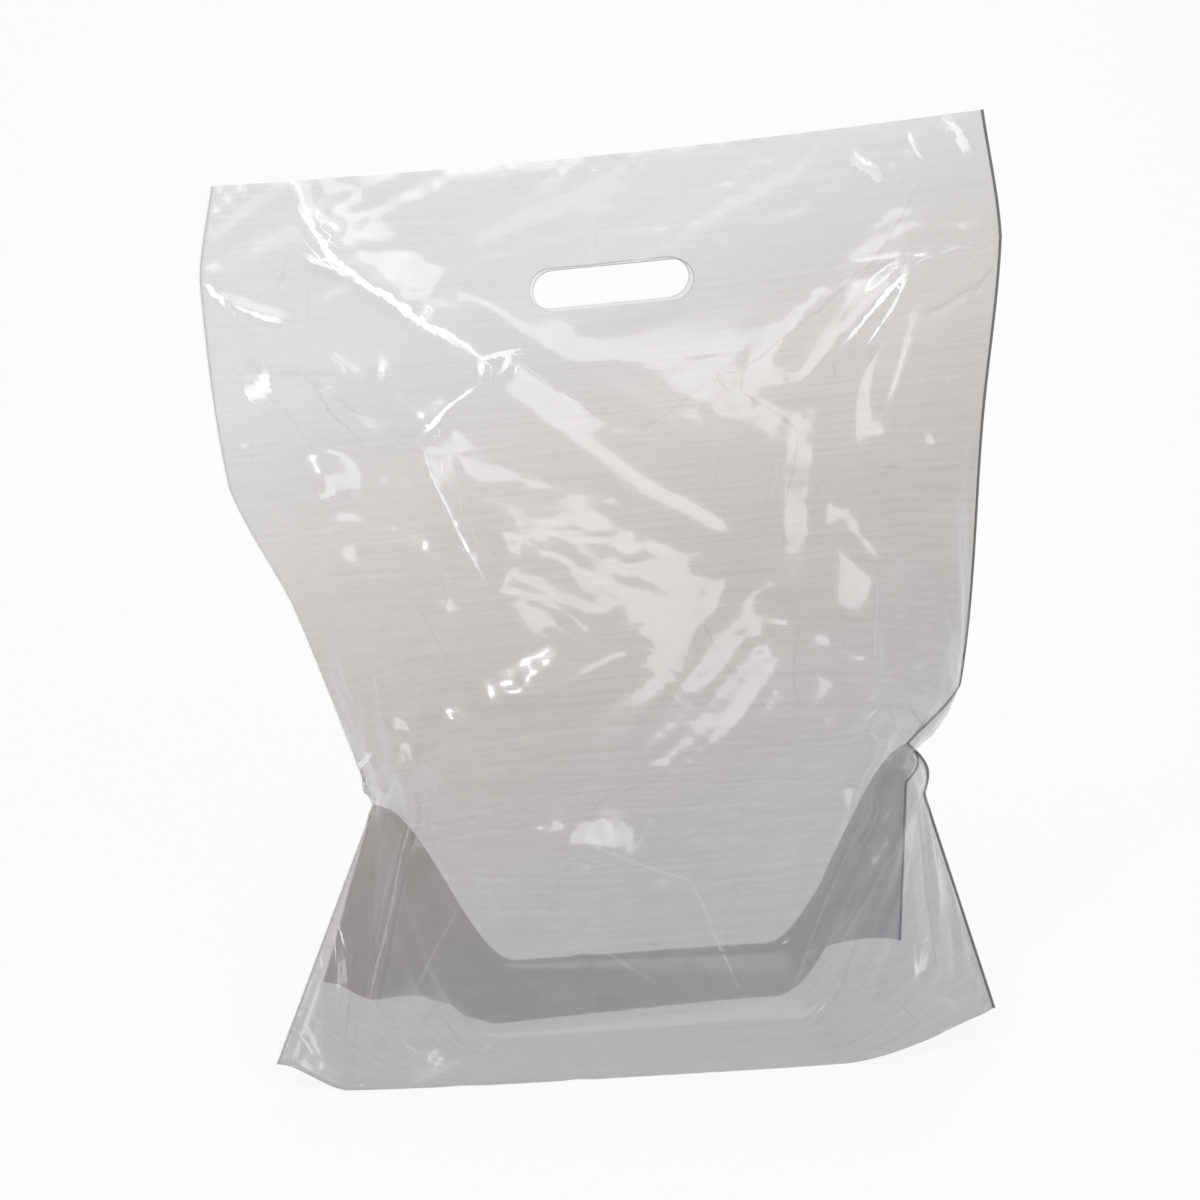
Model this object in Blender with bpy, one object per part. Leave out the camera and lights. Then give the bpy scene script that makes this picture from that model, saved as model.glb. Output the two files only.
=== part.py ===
"""A clear film carrier bag with a punched hand slot and a deep bottom gusset, standing open.

One web of film makes the whole bag: front panel, front half of the gusset, back half of the
gusset and back panel follow one another, and their side edges are welded together. Film hardly
stretches, so the seams and the middle of each panel climb by the film's own length.

Metres, +Z up. The origin is on the floor, at the middle of the bag's box, and the front faces -Y.
"""

import math
from typing import NamedTuple

import bmesh
import bpy
from mathutils import Matrix, Vector

# The flat bag, as it comes off the machine
BAG_WIDTH = 0.450
PANEL_HEIGHT = 0.538
GUSSET_DEPTH = 0.160
FILM_THICKNESS = 0.00006
WELD_WIDTH = 0.0012

# The punched hand slot
SLOT_LENGTH = 0.088
SLOT_HEIGHT = 0.023
SLOT_DROP = 0.074
SLOT_END_SIDES = 12
PUNCH_REACH = 0.060

# How far the front bottom fold stands out more to the right, and how rounded the seams' bends are
FOLD_SKEW = 1.2
SEAM_SOFTNESS = 0.6

# Places along the film that both sides or both panels share, as shares of the way from pinch to mouth
FLANK_SHARE = 0.545
CHEST_SHARE = 0.370

# How far down the ears their flare reaches, and how far in from the seams the folds die away
EAR_TOP = 0.030
FOLD_FADE = 0.030

# The opened gusset: a flat strip along each bottom fold, and a low ridge where it was folded in
FLOOR_STRIP = 0.062
RIDGE_HEIGHT = 0.044
RIDGE_END = 0.26

# Mesh spacing
COLUMNS = 36
ROWS_ABOVE_PINCH = 24
ROWS_BELOW_PINCH = 8
LENGTH_STEPS = 24
SAME_PLACE = 1e-7

FILM_COLOUR = (0.86, 0.87, 0.88, 0.3)
FILM_ROUGHNESS = 0.12


class Side(NamedTuple):
    """One side seam, from the mouth down past the pinch to its two bottom corners."""

    sign: int
    # How far it is drawn in from the flat half width
    mouth_inset: float
    band_inset: float
    flank_inset: float
    shoulder_inset: float
    pinch_inset: float
    front_corner_inset: float
    back_corner_inset: float
    ear_top_flare: float
    # Where those places lie along the film, as shares of the way from pinch to mouth
    band_share: float
    shoulder_share: float
    # How far it leans out of the middle plane, forwards being negative
    mouth_lean: float
    band_lean: float
    flank_lean: float
    # How high the corners curl, over which share of the width, and the film lost to small crumples
    corner_lift: float
    corner_spread: float
    crumple: float


class Fold(NamedTuple):
    """A broad fold of a panel, on the flat film: places are (from the left seam, above the bottom fold)."""

    start: tuple
    end: tuple
    height: float
    half_width: float


class Fan(NamedTuple):
    """Folds that fan out of the pinch at one side, up into the panel, because the film is gathered there."""

    side: int
    count: int
    # How steeply the lowest and the highest fold climb
    first_turn: float
    last_turn: float
    # How far from the pinch they start and end
    start: float
    end: float
    height: float
    half_width: float


class Panel(NamedTuple):
    """The front or the back panel: how far its middle stands out from the line between the seams."""

    sign: int
    chest_bulge: float
    pinch_bulge: float
    ear_bulge: float
    fold_bulge: float
    # How far its bottom corners stand out from the pinch, and the film lost to small crumples
    ear_reach: float
    crumple: float
    fans: tuple
    folds: tuple


MOUTH_BULGE = 0.008
SLOT_BULGE = 0.008

LEFT = Side(
    sign=-1,
    mouth_inset=0.015,
    band_inset=0.007,
    flank_inset=0.020,
    shoulder_inset=0.053,
    pinch_inset=0.095,
    front_corner_inset=0.032,
    back_corner_inset=0.072,
    ear_top_flare=0.0,
    band_share=0.862,
    shoulder_share=0.339,
    mouth_lean=0.008,
    band_lean=0.003,
    flank_lean=0.006,
    corner_lift=0.016,
    corner_spread=0.11,
    crumple=0.043,
)
RIGHT = Side(
    sign=1,
    mouth_inset=0.007,
    band_inset=-0.006,
    flank_inset=0.001,
    shoulder_inset=0.011,
    pinch_inset=0.042,
    front_corner_inset=0.006,
    back_corner_inset=0.022,
    ear_top_flare=0.007,
    band_share=0.810,
    shoulder_share=0.122,
    mouth_lean=0.0,
    band_lean=0.0,
    flank_lean=0.001,
    corner_lift=0.017,
    corner_spread=0.26,
    crumple=0.002,
)
FRONT = Panel(
    sign=-1,
    chest_bulge=0.052,
    pinch_bulge=0.088,
    ear_bulge=0.054,
    fold_bulge=0.020,
    ear_reach=0.060,
    crumple=0.039,
    fans=(
        Fan(-1, 3, math.radians(26), math.radians(74), start=0.035, end=0.215, height=0.007, half_width=0.024),
        Fan(1, 3, math.radians(32), math.radians(78), start=0.035, end=0.195, height=0.007, half_width=0.023),
    ),
    folds=(
        Fold(start=(0.046, 0.535), end=(0.150, 0.434), height=0.005, half_width=0.024),
        Fold(start=(0.140, 0.432), end=(0.262, 0.322), height=0.009, half_width=0.036),
        Fold(start=(0.118, 0.400), end=(0.134, 0.299), height=0.004, half_width=0.020),
        Fold(start=(0.394, 0.464), end=(0.322, 0.405), height=0.006, half_width=0.028),
        Fold(start=(0.408, 0.457), end=(0.378, 0.360), height=0.006, half_width=0.024),
        Fold(start=(0.350, 0.290), end=(0.310, 0.200), height=0.006, half_width=0.030),
        Fold(start=(0.054, 0.210), end=(0.050, 0.040), height=0.008, half_width=0.018),
        Fold(start=(0.096, 0.180), end=(0.086, 0.050), height=0.006, half_width=0.020),
        Fold(start=(0.150, 0.150), end=(0.245, 0.050), height=0.006, half_width=0.030),
        Fold(start=(0.387, 0.160), end=(0.313, 0.060), height=0.007, half_width=0.024),
        Fold(start=(0.300, 0.045), end=(0.345, 0.175), height=0.005, half_width=0.023),
        Fold(start=(0.170, 0.085), end=(0.192, 0.020), height=0.004, half_width=0.024),
    ),
)
BACK = Panel(
    sign=1,
    chest_bulge=0.046,
    pinch_bulge=0.086,
    ear_bulge=0.054,
    fold_bulge=0.022,
    ear_reach=0.066,
    crumple=0.046,
    fans=(
        Fan(-1, 3, math.radians(20), math.radians(66), start=0.035, end=0.200, height=0.007, half_width=0.024),
        Fan(1, 3, math.radians(28), math.radians(72), start=0.035, end=0.220, height=0.007, half_width=0.025),
    ),
    folds=(
        Fold(start=(0.080, 0.525), end=(0.200, 0.410), height=0.005, half_width=0.030),
        Fold(start=(0.180, 0.400), end=(0.300, 0.290), height=0.008, half_width=0.036),
        Fold(start=(0.390, 0.470), end=(0.320, 0.400), height=0.006, half_width=0.028),
        Fold(start=(0.120, 0.330), end=(0.090, 0.180), height=0.006, half_width=0.026),
        Fold(start=(0.060, 0.200), end=(0.060, 0.040), height=0.007, half_width=0.020),
        Fold(start=(0.395, 0.210), end=(0.370, 0.050), height=0.007, half_width=0.022),
        Fold(start=(0.180, 0.160), end=(0.270, 0.060), height=0.006, half_width=0.030),
        Fold(start=(0.160, 0.042), end=(0.104, 0.165), height=0.005, half_width=0.023),
        Fold(start=(0.338, 0.118), end=(0.240, 0.050), height=0.004, half_width=0.024),
    ),
)


def clamp(value):
    return min(1.0, max(0.0, value))


def ease(value):
    """0 up to 0, 1 from 1, and a smooth step between them."""
    t = clamp(value)
    return t * t * (3 - 2 * t)


def blend(a, b, share):
    return a + (b - a) * share


def span_at(stations, at):
    """The number of the span between stations that holds this place."""
    return max(i for i in range(len(stations) - 1) if i == 0 or stations[i][0] <= at)


def through(stations, at):
    """A smooth curve through (distance, value) stations in rising order."""

    def slope(k):
        (s0, v0), (s1, v1) = stations[max(k - 1, 0)], stations[min(k + 1, len(stations) - 1)]
        return (v1 - v0) * (1 / (s1 - s0))

    i = span_at(stations, at)
    (s0, v0), (s1, v1) = stations[i], stations[i + 1]
    span = s1 - s0
    t = (at - s0) / span
    start, end = slope(i) * span, slope(i + 1) * span
    return (
        v0 * (2 * t**3 - 3 * t**2 + 1)
        + start * (t**3 - 2 * t**2 + t)
        + v1 * (3 * t**2 - 2 * t**3)
        + end * (t**3 - t**2)
    )


def climb(route, floor, crumple):
    """Heights for (film distance, x, y) stations, so that the film between them keeps its length."""
    stations, height = [], floor
    for i, (along, x, y) in enumerate(route):
        if i:
            before, x0, y0 = route[i - 1]
            taut = (along - before) * (1 - crumple)
            height += math.sqrt(taut**2 - (x - x0) ** 2 - (y - y0) ** 2)
        stations.append((along, Vector((x, y, height))))
    return stations


def above_pinch(share):
    """The film distance above the bottom fold of a place this share of the way from pinch to mouth."""
    return blend(GUSSET_DEPTH, PANEL_HEIGHT, share)


def bottom_corner(side, panel):
    """The bottom corner where a seam meets a bottom fold."""
    inset = side.front_corner_inset if panel is FRONT else side.back_corner_inset
    return Vector((side.sign * (BAG_WIDTH / 2 - inset), panel.sign * panel.ear_reach, side.corner_lift))


def seam_stations(side):
    """The welded seam from the pinch up to the mouth."""
    places = (
        (GUSSET_DEPTH, side.pinch_inset, 0.0),
        (above_pinch(side.shoulder_share), side.shoulder_inset, 0.0),
        (above_pinch(FLANK_SHARE), side.flank_inset, side.flank_lean),
        (above_pinch(side.band_share), side.band_inset, side.band_lean),
        (PANEL_HEIGHT, side.mouth_inset, side.mouth_lean),
    )
    route = [(along, side.sign * (BAG_WIDTH / 2 - inset), lean) for along, inset, lean in places]
    corner = bottom_corner(side, FRONT)
    ear = climb([(0.0, corner.x, corner.y), route[0]], corner.z, side.crumple)
    return climb(route, ear[-1][1].z, side.crumple)


def seam_point(side, panel, up):
    """The seam at a film distance above the bottom fold. Below the pinch the two panels part."""
    stations = seam_stations(side)
    if up >= GUSSET_DEPTH:
        i = span_at(stations, up)
        (s0, v0), (s1, v1) = stations[i], stations[i + 1]
        straight = v0.lerp(v1, (up - s0) / (s1 - s0))
        return straight.lerp(through(stations, up), SEAM_SOFTNESS)
    point = bottom_corner(side, panel).lerp(stations[0][1], up / GUSSET_DEPTH)
    near_pinch = clamp((up - GUSSET_DEPTH + EAR_TOP) / EAR_TOP)
    point.x += side.sign * side.ear_top_flare * math.sin(math.pi * near_pinch)
    return point


def bulge_at(panel, up):
    stations = (
        (0.0, panel.fold_bulge),
        (GUSSET_DEPTH / 2, panel.ear_bulge),
        (GUSSET_DEPTH, panel.pinch_bulge),
        (above_pinch(CHEST_SHARE), panel.chest_bulge),
        (PANEL_HEIGHT - SLOT_DROP - SLOT_HEIGHT, SLOT_BULGE),
        (PANEL_HEIGHT, MOUTH_BULGE),
    )
    return through(stations, up)


def middle_height(panel, up):
    """Height of a panel's middle line, which climbs from the floor by the film's own length."""
    step = up / LENGTH_STEPS
    taut = step * (1 - panel.crumple)
    depths = []
    for i in range(LENGTH_STEPS + 1):
        left, right = seam_point(LEFT, panel, i * step), seam_point(RIGHT, panel, i * step)
        depths.append((left.y + right.y) / 2 + panel.sign * bulge_at(panel, i * step))
    return sum(math.sqrt(taut**2 - (after - before) ** 2) for before, after in zip(depths, depths[1:]))


def fan_folds(fan):
    """The folds of a fan, from the pinch inwards and up."""
    pinch = Vector((BAG_WIDTH * (fan.side + 1) / 2, GUSSET_DEPTH))
    folds = []
    for i in range(fan.count):
        turn = blend(fan.first_turn, fan.last_turn, i / (fan.count - 1))
        run = Vector((-fan.side * math.cos(turn), math.sin(turn)))
        start, end = pinch + run * fan.start, pinch + run * fan.end
        folds.append(Fold(tuple(start), tuple(end), fan.height, fan.half_width))
    return folds


def all_folds(panel):
    """A panel's own folds, and those of its fans."""
    return list(panel.folds) + [fold for fan in panel.fans for fold in fan_folds(fan)]


PANEL_FOLDS = {panel.sign: all_folds(panel) for panel in (FRONT, BACK)}


def fold_height(panel, across, up):
    """How far the folds stand out from the smooth panel. They die away towards the seams."""
    total = 0.0
    place = Vector((across, up))
    for fold in PANEL_FOLDS[panel.sign]:
        start, run = Vector(fold.start), Vector(fold.end) - Vector(fold.start)
        share = clamp((place - start).dot(run) / run.length_squared)
        gone = (place - start - run * share).length / fold.half_width
        total += fold.height * (1 - ease(gone))
    edge = min(across, BAG_WIDTH - across)
    return total * ease(edge / FOLD_FADE)


def panel_row(panel, up, columns):
    """One level row of a panel, from the left seam to the right seam."""
    left, right = seam_point(LEFT, panel, up), seam_point(RIGHT, panel, up)
    bulge = bulge_at(panel, up)
    # A deep bulge turns away at the seams, so that equal widths of film look narrower there
    roundness = clamp(3 * bulge / (right.x - left.x))
    middle = middle_height(panel, up)
    low = 1 - ease(up / above_pinch(CHEST_SHARE))
    squareness = 1 - ease(up / GUSSET_DEPTH)
    row = []
    for i in range(columns + 1):
        share = i / columns
        across = blend(share, (1 - math.cos(math.pi * share)) / 2, roundness)
        point = left.lerp(right, across)
        arch = math.sin(math.pi * share)
        flat_arch = (1 - (2 * share - 1) ** 4) * (1 + FOLD_SKEW * (share - 0.5))
        point.y += panel.sign * bulge * blend(arch, flat_arch, squareness)
        point.y += panel.sign * fold_height(panel, share * BAG_WIDTH, up)
        near_left = ease(1 - share / LEFT.corner_spread)
        near_right = ease(1 - (1 - share) / RIGHT.corner_spread)
        ends = middle + (left.z - middle) * near_left + (right.z - middle) * near_right
        level = point.z + (middle - (left.z + right.z) / 2) * arch
        point.z = blend(level, ends, low)
        row.append(point)
    return row


def inner_fold(columns):
    """The line along which the gusset was folded in, from pinch to pinch."""
    left, right = seam_point(LEFT, FRONT, GUSSET_DEPTH), seam_point(RIGHT, FRONT, GUSSET_DEPTH)
    row = []
    for i in range(columns + 1):
        share = i / columns
        point = left.lerp(right, share)
        sink = ease(min(share, 1 - share) / RIDGE_END)
        point.z = blend(point.z, RIDGE_HEIGHT, sink)
        point.y += (BACK.ear_reach - FRONT.ear_reach) / 2 * sink
        row.append(point)
    return row


def gusset_row(inward, columns, fold, ridge):
    """One row of a gusset half, a film distance in from its bottom fold."""
    share = inward / GUSSET_DEPTH
    row = []
    for i in range(columns + 1):
        across = i / columns
        straight = fold[i].lerp(ridge[i], share)
        strip = FLOOR_STRIP / abs(ridge[i].y - fold[i].y) if 0 < i < columns else 0.0
        rise = ease((share - strip) / (1 - strip))
        flat = Vector((straight.x, straight.y, blend(fold[i].z, ridge[i].z, rise)))
        open_share = ease(min(across, 1 - across) / RIDGE_END)
        row.append(straight.lerp(flat, open_share))
    return row


def web_rows():
    """Rows of the web from the front mouth round to the back mouth: (panel, film distance, points)."""
    panel_step = (PANEL_HEIGHT - GUSSET_DEPTH) / ROWS_ABOVE_PINCH
    gusset_step = GUSSET_DEPTH / ROWS_BELOW_PINCH
    heights = [PANEL_HEIGHT - panel_step * i for i in range(ROWS_ABOVE_PINCH)]
    heights += [GUSSET_DEPTH - gusset_step * i for i in range(ROWS_BELOW_PINCH)]
    inwards = [gusset_step * i for i in range(1, ROWS_BELOW_PINCH)]
    ridge = inner_fold(COLUMNS)
    halves = []
    for panel in (FRONT, BACK):
        fold = panel_row(panel, 0.0, COLUMNS)
        half = [(panel, up, panel_row(panel, up, COLUMNS)) for up in heights]
        half.append((panel, 0.0, fold))
        half += [(panel, inward, gusset_row(inward, COLUMNS, fold, ridge)) for inward in inwards]
        halves.append(half)
    return halves[0] + [(FRONT, GUSSET_DEPTH, ridge)] + halves[1][::-1]


def seam_key(panel, up, column):
    """Rows that share a seam vertex give it the same key: one side weld joins them."""
    return column, panel is BACK and up < GUSSET_DEPTH - SAME_PLACE, round(up / SAME_PLACE)


def floor_centre(rows):
    """The middle of the bag's box, on the floor."""
    points = [point for _, _, row in rows for point in row]
    low = Vector([min(point[i] for point in points) for i in range(3)])
    high = Vector([max(point[i] for point in points) for i in range(3)])
    return Vector(((low.x + high.x) / 2, (low.y + high.y) / 2, low.z))


def film_mesh(rows, origin):
    """The bag as one closed solid: outer skin, inner skin, and the mouth's edge between them."""
    mesh = bmesh.new()
    welds, grid = {}, []
    for panel, up, row in rows:
        line = []
        for column, point in enumerate(row):
            if 0 < column < COLUMNS:
                line.append(mesh.verts.new(point - origin))
                continue
            key = seam_key(panel, up, column)
            if key not in welds:
                welds[key] = mesh.verts.new(point - origin)
            line.append(welds[key])
        grid.append(line)
    for upper, lower in zip(grid, grid[1:]):
        for column in range(COLUMNS):
            corners = [upper[column], lower[column], lower[column + 1], upper[column + 1]]
            single = [v for i, v in enumerate(corners) if v not in corners[:i]]
            if len(single) > 2:
                mesh.faces.new(single)
    mesh.normal_update()
    inner = inner_skin(mesh, welds.values())
    close_mouth(mesh, grid, inner)
    data = bpy.data.meshes.new("carrier_bag")
    bmesh.ops.triangulate(mesh, faces=mesh.faces)
    mesh.to_mesh(data)
    mesh.free()
    return data


def inner_skin(mesh, welds):
    """The outer skin's copy, one film thickness in, and a weld's width in along the seams."""
    outer_faces, outer_verts = list(mesh.faces), list(mesh.verts)
    welded = set(welds)
    inner = {}
    for vert in outer_verts:
        if vert in welded:
            around = [e.other_vert(vert).co for e in vert.link_edges if e.other_vert(vert) not in welded]
            middle = sum(around, Vector()) / len(around)
            place = vert.co + (middle - vert.co).normalized() * WELD_WIDTH
        else:
            place = vert.co - vert.normal * FILM_THICKNESS
        inner[vert] = mesh.verts.new(place)
    for face in outer_faces:
        mesh.faces.new([inner[v] for v in reversed(face.verts)])
    return inner


def close_mouth(mesh, grid, inner):
    """The cut edge of the film, round the mouth."""
    loop = grid[0] + grid[-1][-2:0:-1]
    for i, start in enumerate(loop):
        end = loop[(i + 1) % len(loop)]
        mesh.faces.new([start, end, inner[end], inner[start]])


def slot_punch(origin):
    """The punch that cuts the hand slot through both panels: a bar with round ends."""
    up = PANEL_HEIGHT - SLOT_DROP
    left, right = seam_point(LEFT, FRONT, up), seam_point(RIGHT, FRONT, up)
    centre = (left + right) / 2
    centre.z = middle_height(FRONT, up)
    centre -= origin
    across = (right - left).normalized()
    forward = Vector((0, 1, 0)) - across * across.y
    forward.normalize()
    upward = across.cross(forward)
    radius = SLOT_HEIGHT / 2
    straight = SLOT_LENGTH / 2 - radius
    outline = []
    for end in (1, -1):
        for i in range(SLOT_END_SIDES + 1):
            angle = math.pi * (i / SLOT_END_SIDES - 0.5)
            outline.append((end * (straight + radius * math.cos(angle)), end * radius * math.sin(angle)))
    mesh = bmesh.new()
    face = mesh.faces.new([mesh.verts.new((x, -PUNCH_REACH, z)) for x, z in outline])
    made = bmesh.ops.extrude_face_region(mesh, geom=[face])
    moved = [v for v in made["geom"] if isinstance(v, bmesh.types.BMVert)]
    bmesh.ops.translate(mesh, verts=moved, vec=(0, 2 * PUNCH_REACH, 0))
    bmesh.ops.recalc_face_normals(mesh, faces=mesh.faces)
    data = bpy.data.meshes.new("slot_punch")
    mesh.to_mesh(data)
    mesh.free()
    punch = bpy.data.objects.new("slot_punch", data)
    bpy.context.scene.collection.objects.link(punch)
    turn = Matrix((across, forward, upward)).transposed().to_4x4()
    punch.matrix_world = Matrix.Translation(centre) @ turn
    punch.hide_render = True
    punch.display_type = "WIRE"
    return punch


def film_material():
    material = bpy.data.materials.new("clear_polythene_film")
    material.use_nodes = True
    shader = material.node_tree.nodes["Principled BSDF"]
    shader.inputs["Base Color"].default_value = FILM_COLOUR
    shader.inputs["Roughness"].default_value = FILM_ROUGHNESS
    shader.inputs["Metallic"].default_value = 0.0
    shader.inputs["Alpha"].default_value = FILM_COLOUR[3]
    return material


def main():
    for old in list(bpy.data.objects):
        bpy.data.objects.remove(old)
    rows = web_rows()
    origin = floor_centre(rows)
    bag = bpy.data.objects.new("carrier_bag", film_mesh(rows, origin))
    bpy.context.scene.collection.objects.link(bag)
    bag.data.materials.append(film_material())
    bag.data.shade_smooth()
    cut = bag.modifiers.new("hand_slot", "BOOLEAN")
    cut.operation = "DIFFERENCE"
    cut.object = slot_punch(origin)


main()
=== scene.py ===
"""The looks of a clear film carrier bag, standing open, as a Blender add-on that is run as a script.

The film is one web of polythene: front panel, gusset and back panel follow one another. The web is
laid out as a fine grid with the sizes of the bag, buckled by a cloth simulation, creased, and cut
at the hand slot. Weld beads run down both side seams. Metres, +Z up, the front faces -Y.
"""

import math
from typing import NamedTuple

import bpy
import numpy as np
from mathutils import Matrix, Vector


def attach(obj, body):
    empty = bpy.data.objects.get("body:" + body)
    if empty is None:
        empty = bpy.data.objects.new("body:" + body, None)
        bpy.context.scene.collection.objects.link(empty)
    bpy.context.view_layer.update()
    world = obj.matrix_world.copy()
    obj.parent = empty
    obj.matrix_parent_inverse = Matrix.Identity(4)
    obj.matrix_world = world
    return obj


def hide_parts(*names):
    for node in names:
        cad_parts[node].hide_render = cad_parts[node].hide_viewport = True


bl_info = {
    "name": "Clear film carrier bag",
    "version": (1, 0, 0),
    "blender": (4, 5, 0),
    "location": "3D View > Sidebar > Carrier bag",
    "description": "Builds a clear film carrier bag with a punched hand slot, and the stage it stands on",
    "category": "Object",
}

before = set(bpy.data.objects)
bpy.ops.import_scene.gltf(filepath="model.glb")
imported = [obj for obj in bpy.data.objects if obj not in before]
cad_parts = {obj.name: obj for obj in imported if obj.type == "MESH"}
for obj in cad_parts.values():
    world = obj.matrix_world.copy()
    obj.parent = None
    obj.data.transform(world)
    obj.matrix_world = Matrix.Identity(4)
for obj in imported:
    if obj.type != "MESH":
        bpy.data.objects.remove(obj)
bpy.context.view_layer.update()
BAG_NODE = "carrier_bag"
BODY = "root"

# The flat bag, as it comes off the machine
BAG_WIDTH = 0.450
PANEL_HEIGHT = 0.538
GUSSET_DEPTH = 0.160
WEB_LENGTH = 2 * (PANEL_HEIGHT + GUSSET_DEPTH)

# The punched hand slot
SLOT_LENGTH = 0.088
SLOT_HEIGHT = 0.023
SLOT_DROP = 0.074

# How much further both bottom folds stand out to the right, and how rounded the seams' bends are
FOLD_SKEW = 1.2
SEAM_SOFTNESS = 0.6

# Places along the film that both sides or both panels share, as shares of the way from pinch to mouth
FLANK_SHARE = 0.545
CHEST_SHARE = 0.370

# The seam flares over this length of film below the pinch, and broad folds fade out this near to a seam
EAR_TOP = 0.030
FOLD_FADE = 0.030

# The opened gusset: a flat strip along each bottom fold, and a low ridge where it was folded in
FLOOR_STRIP = 0.062
RIDGE_HEIGHT = 0.044
RIDGE_END = 0.26

MOUTH_BULGE = 0.008
SLOT_BULGE = 0.008
LENGTH_STEPS = 24


class Side(NamedTuple):
    """One side seam, from the mouth down past the pinch to its two bottom corners."""

    sign: int
    mouth_inset: float
    band_inset: float
    flank_inset: float
    shoulder_inset: float
    pinch_inset: float
    front_corner_inset: float
    back_corner_inset: float
    ear_top_flare: float
    band_share: float
    shoulder_share: float
    mouth_lean: float
    band_lean: float
    flank_lean: float
    corner_lift: float
    corner_spread: float
    crumple: float


class Fold(NamedTuple):
    """A broad fold of a panel, on the flat film: places are (from the left seam, above the bottom fold)."""

    start: tuple
    end: tuple
    height: float
    half_width: float


class Fan(NamedTuple):
    """Folds that fan out of the pinch at one side, up into the panel, because the film is gathered there."""

    side: int
    count: int
    first_turn: float
    last_turn: float
    start: float
    end: float
    height: float
    half_width: float


class Panel(NamedTuple):
    """The front or the back panel: how far its middle stands out from the line between the seams."""

    sign: int
    chest_bulge: float
    pinch_bulge: float
    ear_bulge: float
    fold_bulge: float
    ear_reach: float
    crumple: float
    fans: tuple
    folds: tuple


class Crease(NamedTuple):
    """A sharp crease through points on the flat film: (from the left seam, above the bottom fold)."""

    points: tuple
    height: float
    half_width: float
    # How white along it (strain whitening and painted glint), how wide that line is, how far it swings side
    # to side
    whitening: float = 0.0
    line_width: float = 0.0012
    jag: float = 0.0


LEFT = Side(
    sign=-1,
    mouth_inset=0.015,
    band_inset=0.007,
    flank_inset=0.020,
    shoulder_inset=0.053,
    pinch_inset=0.095,
    front_corner_inset=0.032,
    back_corner_inset=0.072,
    ear_top_flare=0.0,
    band_share=0.862,
    shoulder_share=0.339,
    mouth_lean=0.008,
    band_lean=0.003,
    flank_lean=0.006,
    corner_lift=0.016,
    corner_spread=0.11,
    crumple=0.043,
)
RIGHT = Side(
    sign=1,
    mouth_inset=0.007,
    band_inset=-0.006,
    flank_inset=0.001,
    shoulder_inset=0.011,
    pinch_inset=0.042,
    front_corner_inset=0.006,
    back_corner_inset=0.022,
    ear_top_flare=0.007,
    band_share=0.810,
    shoulder_share=0.122,
    mouth_lean=0.0,
    band_lean=0.0,
    flank_lean=0.001,
    corner_lift=0.017,
    corner_spread=0.26,
    crumple=0.002,
)
FRONT = Panel(
    sign=-1,
    chest_bulge=0.052,
    pinch_bulge=0.088,
    ear_bulge=0.054,
    fold_bulge=0.020,
    ear_reach=0.060,
    crumple=0.039,
    fans=(
        Fan(-1, 3, math.radians(26), math.radians(74), 0.035, end=0.215, height=0.007, half_width=0.024),
        Fan(1, 3, math.radians(32), math.radians(78), 0.035, end=0.195, height=0.007, half_width=0.023),
    ),
    folds=(
        Fold(start=(0.046, 0.535), end=(0.150, 0.434), height=0.005, half_width=0.024),
        Fold(start=(0.140, 0.432), end=(0.262, 0.322), height=0.009, half_width=0.036),
        Fold(start=(0.118, 0.400), end=(0.134, 0.299), height=0.004, half_width=0.020),
        Fold(start=(0.394, 0.464), end=(0.322, 0.405), height=0.006, half_width=0.028),
        Fold(start=(0.408, 0.457), end=(0.378, 0.360), height=0.006, half_width=0.024),
        Fold(start=(0.350, 0.290), end=(0.310, 0.200), height=0.006, half_width=0.030),
        Fold(start=(0.054, 0.210), end=(0.050, 0.040), height=0.008, half_width=0.018),
        Fold(start=(0.096, 0.180), end=(0.086, 0.050), height=0.006, half_width=0.020),
        Fold(start=(0.150, 0.150), end=(0.245, 0.050), height=0.006, half_width=0.030),
        Fold(start=(0.387, 0.160), end=(0.313, 0.060), height=0.007, half_width=0.024),
        Fold(start=(0.300, 0.045), end=(0.345, 0.175), height=0.005, half_width=0.023),
        Fold(start=(0.170, 0.085), end=(0.192, 0.020), height=0.004, half_width=0.024),
    ),
)
BACK = Panel(
    sign=1,
    chest_bulge=0.046,
    pinch_bulge=0.086,
    ear_bulge=0.054,
    fold_bulge=0.022,
    ear_reach=0.066,
    crumple=0.046,
    fans=(
        Fan(-1, 3, math.radians(20), math.radians(66), 0.035, end=0.200, height=0.007, half_width=0.024),
        Fan(1, 3, math.radians(28), math.radians(72), 0.035, end=0.220, height=0.007, half_width=0.025),
    ),
    folds=(
        Fold(start=(0.080, 0.525), end=(0.200, 0.410), height=0.005, half_width=0.030),
        Fold(start=(0.180, 0.400), end=(0.300, 0.290), height=0.008, half_width=0.036),
        Fold(start=(0.390, 0.470), end=(0.320, 0.400), height=0.006, half_width=0.028),
        Fold(start=(0.120, 0.330), end=(0.090, 0.180), height=0.006, half_width=0.026),
        Fold(start=(0.060, 0.200), end=(0.060, 0.040), height=0.007, half_width=0.020),
        Fold(start=(0.395, 0.210), end=(0.370, 0.050), height=0.007, half_width=0.022),
        Fold(start=(0.180, 0.160), end=(0.270, 0.060), height=0.006, half_width=0.030),
        Fold(start=(0.160, 0.042), end=(0.104, 0.165), height=0.005, half_width=0.023),
        Fold(start=(0.338, 0.118), end=(0.240, 0.050), height=0.004, half_width=0.024),
    ),
)
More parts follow.
